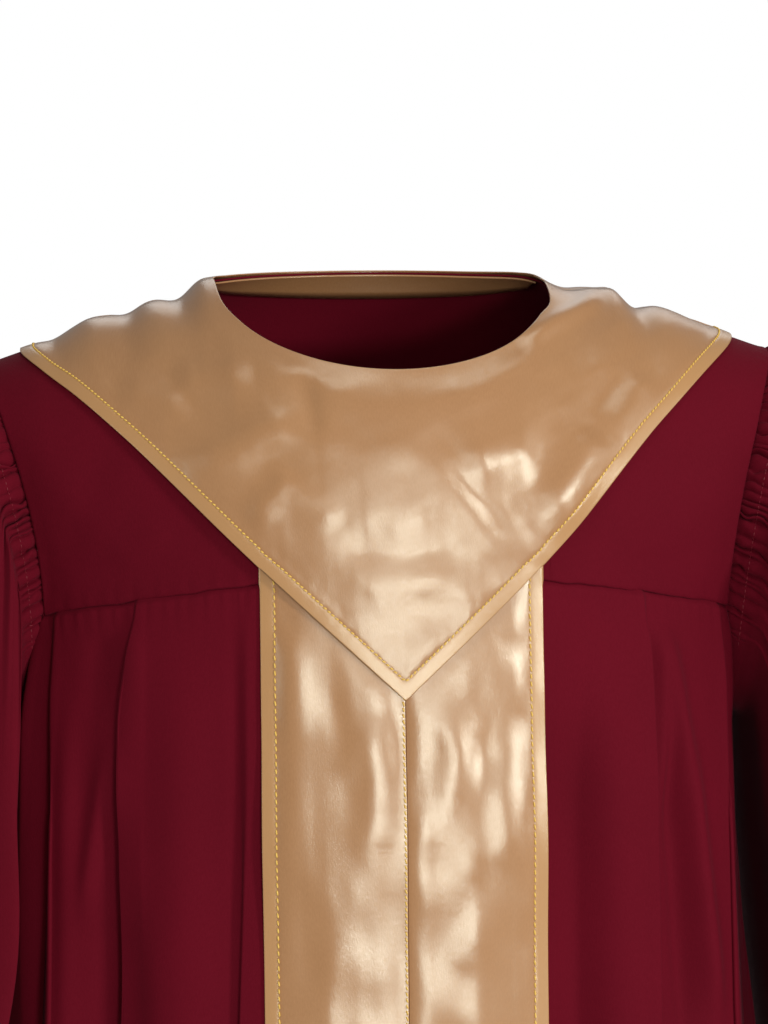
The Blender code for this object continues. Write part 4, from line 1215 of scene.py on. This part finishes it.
def collar_surface(across, down, back, out=0.0):
    """across runs from the centre to the shoulder seams, down from the neckline to the free edge."""
    side = np.where(across < 0, -1, 1)
    share = np.abs(across)
    x_neck = NECK_HALF * np.sin(share * PI / 2)
    neck = neck_turn(x_neck, NECK_HALF, NECK_BACK_Z if back else NECK_FRONT_Z)
    turn_neck = np.maximum(neck, seam_turn(NECK_HALF, back))
    x_edge = COLLAR_TIP_X * share
    hollow = COLLAR_HOLLOW * share ** COLLAR_HOLLOW_POWER * (1 - share)
    point_z = COLLAR_BACK_Z if back else COLLAR_POINT_Z
    edge_z = lerp(point_z, shoulder_height(COLLAR_TIP_X), share) + hollow
    turn_edge = np.maximum(body_turn(x_edge, edge_z), seam_turn(x_edge, back))
    forward = np.where(across > 0, SEAM_FORWARD_LEFT, SEAM_FORWARD_RIGHT) * ease((share - FORWARD_START) / 0.3)
    forward = forward * (1 - ease((lerp(x_neck, x_edge, down) - FORWARD_NECK) / FORWARD_RUN)) * (-1 if back else 1)
    x, turn = lerp(x_neck, x_edge, down), lerp(turn_neck, turn_edge, down) + forward
    clear = lerp(COLLAR_CLEARANCE, SHOULDER_CLEARANCE, ease((share - 0.45) / 0.3))
    stand = lerp(NECK_CLEARANCE, clear, ease(down / 0.15))
    lift = COLLAR_LIFT * ease((down - 0.5) / 0.5) * (1 - ease((share - 0.6) / 0.4))
    return moved_out(side * x, turn * (-1 if back else 1), WALL + stand + lift + out)


def collar_grid(back):
    """A grid whose last rows keep the distances EDGE_RUNS from the free edge."""
    inner = np.linspace(-1, 1, 2 * COLLAR_COLUMNS + 1)
    across = np.unique(np.concatenate([inner, [-0.998, -0.995, 0.995, 0.998]]))
    rough_across, rough_down = np.meshgrid(across, np.linspace(0, 1, 41))
    rough = collar_surface(rough_across, rough_down, back)
    length = run_along(rough, 0)
    along_edge = unit(np.gradient(rough[-1], axis=0))
    middle = len(across) // 2
    along_edge[middle] = along_edge[middle + 1]
    into = unit(rough[-4] - rough[-1])
    slant = np.sqrt(np.maximum(1 - (along_edge * into).sum(-1) ** 2, 0.05))
    edge_down = 1 - EDGE_RUNS[::-1, None] / slant / length[-1]
    neck_rows = np.array([0.0, 0.3, 0.8, 1.6]) * MM
    neck_down = neck_rows[:, None] / length[-1]
    share = np.linspace(0, 1, COLLAR_ROWS)[1:-1, None]
    between = lerp(neck_down[-1:], edge_down[:1], share)
    down = np.concatenate([neck_down, between, edge_down], axis=0)
    return across, collar_surface(np.broadcast_to(across, down.shape), down, back)


# %% Creases of the satin, and the two collar pieces
COLLAR_CREASES = (
    ("under_brown_right", -120, -100, -82, -80, -46, -68, 11, 2.6),
    ("over_haze_right", -120, -52, -98, -47, -74, -48, 11, 2),
    ("low_brown_right", -84, -128, -66, -110, -56, -96, 8, 1.8),
    ("spark_right", -62, -106, -47, -114, -34, -128, 8, 1),
    ("upright_right", -53, -46, -49, -62, -45, -82, 5.5, -1.2),
    ("shoulder_right", -150, -52, -128, -60, -108, -62, 11, 1.4),
    ("over_point", -44, -150, -10, -160, 40, -152, 14, 1.4),
    ("thin_left", 16, -88, 41, -110, 63, -141, 4, -0.7),
    ("spark_left", 30, -94, 54, -86, 78, -90, 13, 2.2),
    ("breast_left", 108, -78, 98, -100, 74, -136, 12, 3.8),
    ("brown_left", 122, -48, 116, -64, 98, -74, 9, -0.9),
    ("beside_brown_left", 140, -52, 130, -68, 112, -84, 9, 1.6),
    ("ridge_left", 66, -34, 92, -20, 128, -9, 5, 3),
)
COLLAR_BACK_CREASES = (
    ("blade_right", -150, -30, -110, -60, -60, -85, 11, 1.8),
    ("blade_left", 150, -34, 100, -56, 50, -90, 11, 2),
    ("middle", -30, -50, 0, -60, 36, -48, 12, -1.4),
)
COLLAR_HOLLOWS, COLLAR_HOLLOW_SIZE = 0.40 * MM, 52 * MM
COLLAR_WRINKLES, COLLAR_WRINKLE_SIZE = 0.07 * MM, 17 * MM
# Inside the rows that follow the edge, the edge counts as this far away.
FAR_FROM_EDGE = 20 * MM


for name, back in (("collar_front", False), ("collar_back", True)):
    across, grid = collar_grid(back)
    to_edge = np.append(np.full(len(grid) - len(EDGE_RUNS), FAR_FROM_EDGE), EDGE_RUNS[::-1])[:, None]
    from_neck, along = run_along(grid, 0), run_along(grid, 1)
    height = crease_height(grid, COLLAR_BACK_CREASES if back else COLLAR_CREASES)
    height = np.where(height < 0, -COLLAR_GIVE * np.tanh(-height / COLLAR_GIVE), height)
    height += turned_edge(to_edge, along, 9 * MM, 0.14 * MM, 5 * MM, 2.0) + rolled(from_neck, 0.5 * MM)
    free = ease((to_edge - 6 * MM) / (8 * MM)) * ease(from_neck / (12 * MM))
    height += COLLAR_HOLLOWS * crumple(grid, COLLAR_HOLLOW_SIZE, 5 + back) * free
    height += COLLAR_WRINKLES * crumple(grid, COLLAR_WRINKLE_SIZE, 7) * free
    shell(name, raised(grid, height), gold, band=edge_band(to_edge) * np.ones_like(from_neck))

# %% [markdown]
# ## The facing inside the back neck
# A narrow strip of satin faces the back neckline. Only a sliver of it shows over the far edge of the
# neck, so it is a plain strip made from the back yoke's own points, moved in.

# %% Make the facing
neck_shares = yoke_shares()[:NECK_STEPS - 4]
signed = np.concatenate([-neck_shares[:0:-1], neck_shares])
across, down = np.meshgrid(signed, np.array([0.0, 0.004, 0.015, 0.05, 0.10, 0.14]))
top, bottom = yoke_turns(np.abs(across), True)
x = across * lerp(ARM_TOP_X, CORNER_X, down)
grid = moved_out(x, -lerp(top, bottom, down), np.full(x.shape, -(1.2 * MM + GAP)))
shell("neck_facing", grid, gold)

# %% [markdown]
# ## Stitches
# A machine sews every topstitch at an even pitch. A texture could draw the thread, but real threads catch
# the light from each side. Geometry Nodes lay them: a path along a row of the grid is cut at the pitch, a
# short thread is set on each point, turned along the path and flat on the cloth, and shaken a little by a
# fixed seed. The result becomes a plain mesh.

# %% The stitch tree
STITCH_SHAKE, STITCH_SEED = 0.05, 3


def node_input(group, name, kind, value=None):
    socket = group.interface.new_socket(name, in_out="INPUT", socket_type=kind)
    if value is not None:
        socket.default_value = value
    return socket.identifier


def make_stitch_tree():
    group = bpy.data.node_groups.new("machine_stitches", "GeometryNodeTree")
    node_input(group, "Path", "NodeSocketGeometry")
    ids = {
        "pitch": node_input(group, "Stitch Pitch", "NodeSocketFloat", 3 * MM),
        "length": node_input(group, "Stitch Length", "NodeSocketFloat", 2 * MM),
        "width": node_input(group, "Thread Width", "NodeSocketFloat", 0.5 * MM),
        "slant": node_input(group, "Slant", "NodeSocketFloat", 0.1),
        "material": node_input(group, "Thread", "NodeSocketMaterial"),
    }
    group.interface.new_socket("Stitches", in_out="OUTPUT", socket_type="NodeSocketGeometry")
    given = group.nodes.new("NodeGroupInput").outputs
    result = group.nodes.new("NodeGroupOutput").inputs
    curve = add(group, "GeometryNodeMeshToCurve", {"Mesh": given["Path"]})
    cut = add(
        group, "GeometryNodeResampleCurve",
        {"Curve": curve.outputs[0], "Length": given["Stitch Pitch"]}, mode="LENGTH",
    )
    out = add(group, "GeometryNodeInputNamedAttribute", {"Name": "out"}, data_type="FLOAT_VECTOR")
    stand = add(group, "FunctionNodeAlignRotationToVector", {"Vector": out.outputs[0]}, axis="Z")
    tangent = group.nodes.new("GeometryNodeInputTangent")
    turned = add(
        group, "FunctionNodeAlignRotationToVector",
        {"Rotation": stand.outputs[0], "Vector": tangent.outputs[0]}, axis="X", pivot_axis="Z",
    )
    shaken = add(
        group, "FunctionNodeRandomValue",
        {"Min": (0, 0, -STITCH_SHAKE), "Max": (0, 0, STITCH_SHAKE), "Seed": STITCH_SEED}, data_type="FLOAT_VECTOR",
    )
    slant = add(group, "ShaderNodeCombineXYZ", {"Z": given["Slant"]})
    both = add(group, "ShaderNodeVectorMath", {0: shaken.outputs[0], 1: slant.outputs[0]}, operation="ADD")
    euler = add(group, "FunctionNodeEulerToRotation", {0: both.outputs[0]})
    rotation = add(
        group, "FunctionNodeRotateRotation",
        {"Rotation": turned.outputs[0], "Rotate By": euler.outputs[0]}, rotation_space="LOCAL",
    )
    ball = add(group, "GeometryNodeMeshUVSphere", {"Segments": 6, "Rings": 4, "Radius": 0.5})
    width = given["Thread Width"]
    size = add(group, "ShaderNodeCombineXYZ", {0: given["Stitch Length"], 1: width, 2: width})
    thread = add(group, "GeometryNodeTransform", {"Geometry": ball.outputs[0], "Scale": size.outputs[0]})
    placed = add(
        group, "GeometryNodeInstanceOnPoints",
        {"Points": cut.outputs[0], "Instance": thread.outputs[0], "Rotation": rotation.outputs[0]},
    )
    real = add(group, "GeometryNodeRealizeInstances", {0: placed.outputs[0]})
    smooth = add(group, "GeometryNodeSetShadeSmooth", {0: real.outputs[0]})
    coloured = add(group, "GeometryNodeSetMaterial", {"Geometry": smooth.outputs[0], "Material": given["Thread"]})
    group.links.new(coloured.outputs[0], result[0])
    return group, ids


stitch_tree, stitch_inputs = make_stitch_tree()
sewn = []
print("the stitch tree has", len(stitch_tree.nodes), "nodes")


def stitches(name, slot, paths, thread, pitch, length, width, slant=0.0):
    """Sews along the paths, each a pair of points and outward normals, and keeps the threads for a slot."""
    points, normals, edges = [], [], []
    for path, out in paths:
        edges += [(len(points) + k, len(points) + k + 1) for k in range(len(path) - 1)]
        points += path.tolist()
        normals += out.tolist()
    mesh = bpy.data.meshes.new(name)
    mesh.from_pydata(points, edges, [])
    mesh.attributes.new("out", "FLOAT_VECTOR", "POINT").data.foreach_set("vector", np.ravel(normals))
    path_object = in_scene(name + "_path", mesh)
    modifier = path_object.modifiers.new("stitches", "NODES")
    modifier.node_group = stitch_tree
    for key, value in dict(pitch=pitch, length=length, width=width, slant=slant, material=thread).items():
        modifier[stitch_inputs[key]] = value
    evaluated = path_object.evaluated_get(bpy.context.evaluated_depsgraph_get())
    threads = bpy.data.meshes.new_from_object(evaluated)
    bpy.data.objects.remove(path_object)
    for spare in [a.name for a in threads.attributes if a.name == "out"]:
        threads.attributes.remove(threads.attributes[spare])
    sewn.append((in_scene(name, threads), slot))
    print(f"{name}: {len(threads.polygons)} faces")


# %% Paths of the stitches
GOLD_THREAD_WIDTH, MAROON_THREAD_WIDTH = 1.05 * MM, 0.5 * MM


def path_of(piece, row=None, column=None, lift=0.25 * MM, part=slice(None)):
    """The points and normals of one row or column of a piece, lifted off its face."""
    points, normals = pieces[piece]["points"], pieces[piece]["normals"]
    pick = (row, part) if row is not None else (part, column)
    return points[pick] + normals[pick] * lift, normals[pick]


def nearest(values, wanted):
    return int(np.argmin(np.abs(values - wanted)))


from_edge = -1 - nearest(EDGE_RUNS, SATIN_STITCH)
collar_paths = [path_of(name, row=from_edge) for name in ("collar_front", "collar_back")]
panel_paths = [path_of(name, column=from_edge) for name in ("panel_right", "panel_left")]
centre_path = [path_of("panel_right", column=2)]
for name, paths, pitch, length, slant in (
    ("collar_stitches", collar_paths, 2.8 * MM, 2.5 * MM, 0.22),
    ("panel_stitches", panel_paths, 4.0 * MM, 3.4 * MM, 0.16),
    ("centre_stitches", centre_path, 3.2 * MM, 2.8 * MM, 0.35),
):
    stitches(name, "gold_satin", paths, gold_thread, pitch, length, GOLD_THREAD_WIDTH, slant)
gather_paths, hem_paths = [], []
gathered = slice(4, GATHERS * len(GATHER_PLACES) - 4)
for name in ("sleeve_right", "sleeve_left"):
    down = run_along(pieces[name]["points"], 0).mean(axis=1)
    gather_paths.append(path_of(name, row=nearest(down, TUCK_RUN + PINCH_RUN), part=gathered, lift=0.0))
    hem_paths.append(path_of(name, row=nearest(down, down[-1] - CUFF_BAND)))
for name in ("skirt_front_right", "skirt_front_left", "skirt_back"):
    heights = pieces[name]["points"][..., 2].mean(axis=1)
    hem_paths.append(path_of(name, row=nearest(heights, HEM_Z + HEM_BAND)))
for name, paths, thread, pitch, length in (
    ("gather_stitches", gather_paths, gather_thread, 3.4 * MM, 2.4 * MM),
    ("hem_stitches", hem_paths, maroon_thread, 4.2 * MM, 3.2 * MM),
):
    stitches(name, "maroon_polyester", paths, thread, pitch, length, MAROON_THREAD_WIDTH)

# %% [markdown]
# ## The floor, and what each piece stands for
# The floor lies below the hem, because the robe hangs from its wearer's shoulders and stands on nothing.
# Each shell rides on the robe's only body and replaces its solid. A table lists each with the size
# that it was cut to, the cloth that shows, and what holds it.

FLOOR_Z, FLOOR_HALF = -1.46, 4.0
floor_mesh = bpy.data.meshes.new("pale_floor")
floor_corners = [(sx * FLOOR_HALF, sy * FLOOR_HALF, FLOOR_Z) for sx, sy in ((-1, -1), (1, -1), (1, 1), (-1, 1))]
floor_mesh.from_pydata(floor_corners, [], [(0, 1, 2, 3)])
floor_material, _, floor_shader = new_material("pale_floor")
set_all(floor_shader, Roughness=0.9, Specular_IOR_Level=0.1, Base_Color=(0.86, 0.86, 0.87, 1))
floor_mesh.materials.append(floor_material)
in_scene("pale_floor", floor_mesh)

SHEET_COLUMNS = ("node", "slot", "flat", "area", "held", "rests_on")
SHEETS = (
    ("yoke_front_right", "maroon_polyester", (0.20, 0.21), 0.034, "stretched", ["yoke_back"]),
    ("yoke_front_left", "maroon_polyester", (0.20, 0.21), 0.034, "stretched", ["yoke_back"]),
    ("yoke_back", "maroon_polyester", (0.44, 0.20), 0.077, "stretched", ["yoke_front_right", "yoke_front_left"]),
    ("skirt_front_right", "maroon_polyester", (0.50, 1.15), 0.424, "hung", ["yoke_front_right"]),
    ("skirt_front_left", "maroon_polyester", (0.50, 1.15), 0.428, "hung", ["yoke_front_left"]),
    ("skirt_back", "maroon_polyester", (1.05, 1.15), 0.907, "hung", ["yoke_back"]),
    ("sleeve_right", "maroon_polyester", (0.62, 0.58), 0.288, "gathered", ["yoke_front_right", "yoke_back"]),
    ("sleeve_left", "maroon_polyester", (0.62, 0.58), 0.288, "gathered", ["yoke_front_left", "yoke_back"]),
    ("panel_right", "gold_satin", (0.076, 1.24), None, "hung", ["yoke_front_right", "skirt_front_right"]),
    ("panel_left", "gold_satin", (0.076, 1.24), None, "hung", ["yoke_front_left", "skirt_front_left"]),
    ("collar_front", "gold_satin", (0.42, 0.26), 0.056, "laid", ["yoke_front_right", "yoke_front_left"]),
    ("collar_back", "gold_satin", (0.42, 0.17), 0.041, "laid", ["yoke_back"]),
    ("neck_facing", "gold_satin", (0.18, 0.022), None, "laid", ["yoke_back"]),
)
for row in table(SHEET_COLUMNS, SHEETS):
    piece = pieces[row["node"]]["object"]
    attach(piece, "root")
    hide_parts(row["node"])
for piece, slot in sewn:
    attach(piece, "root")
print(len(SHEETS), "sheets of cloth and", len(sewn), "sets of stitches")
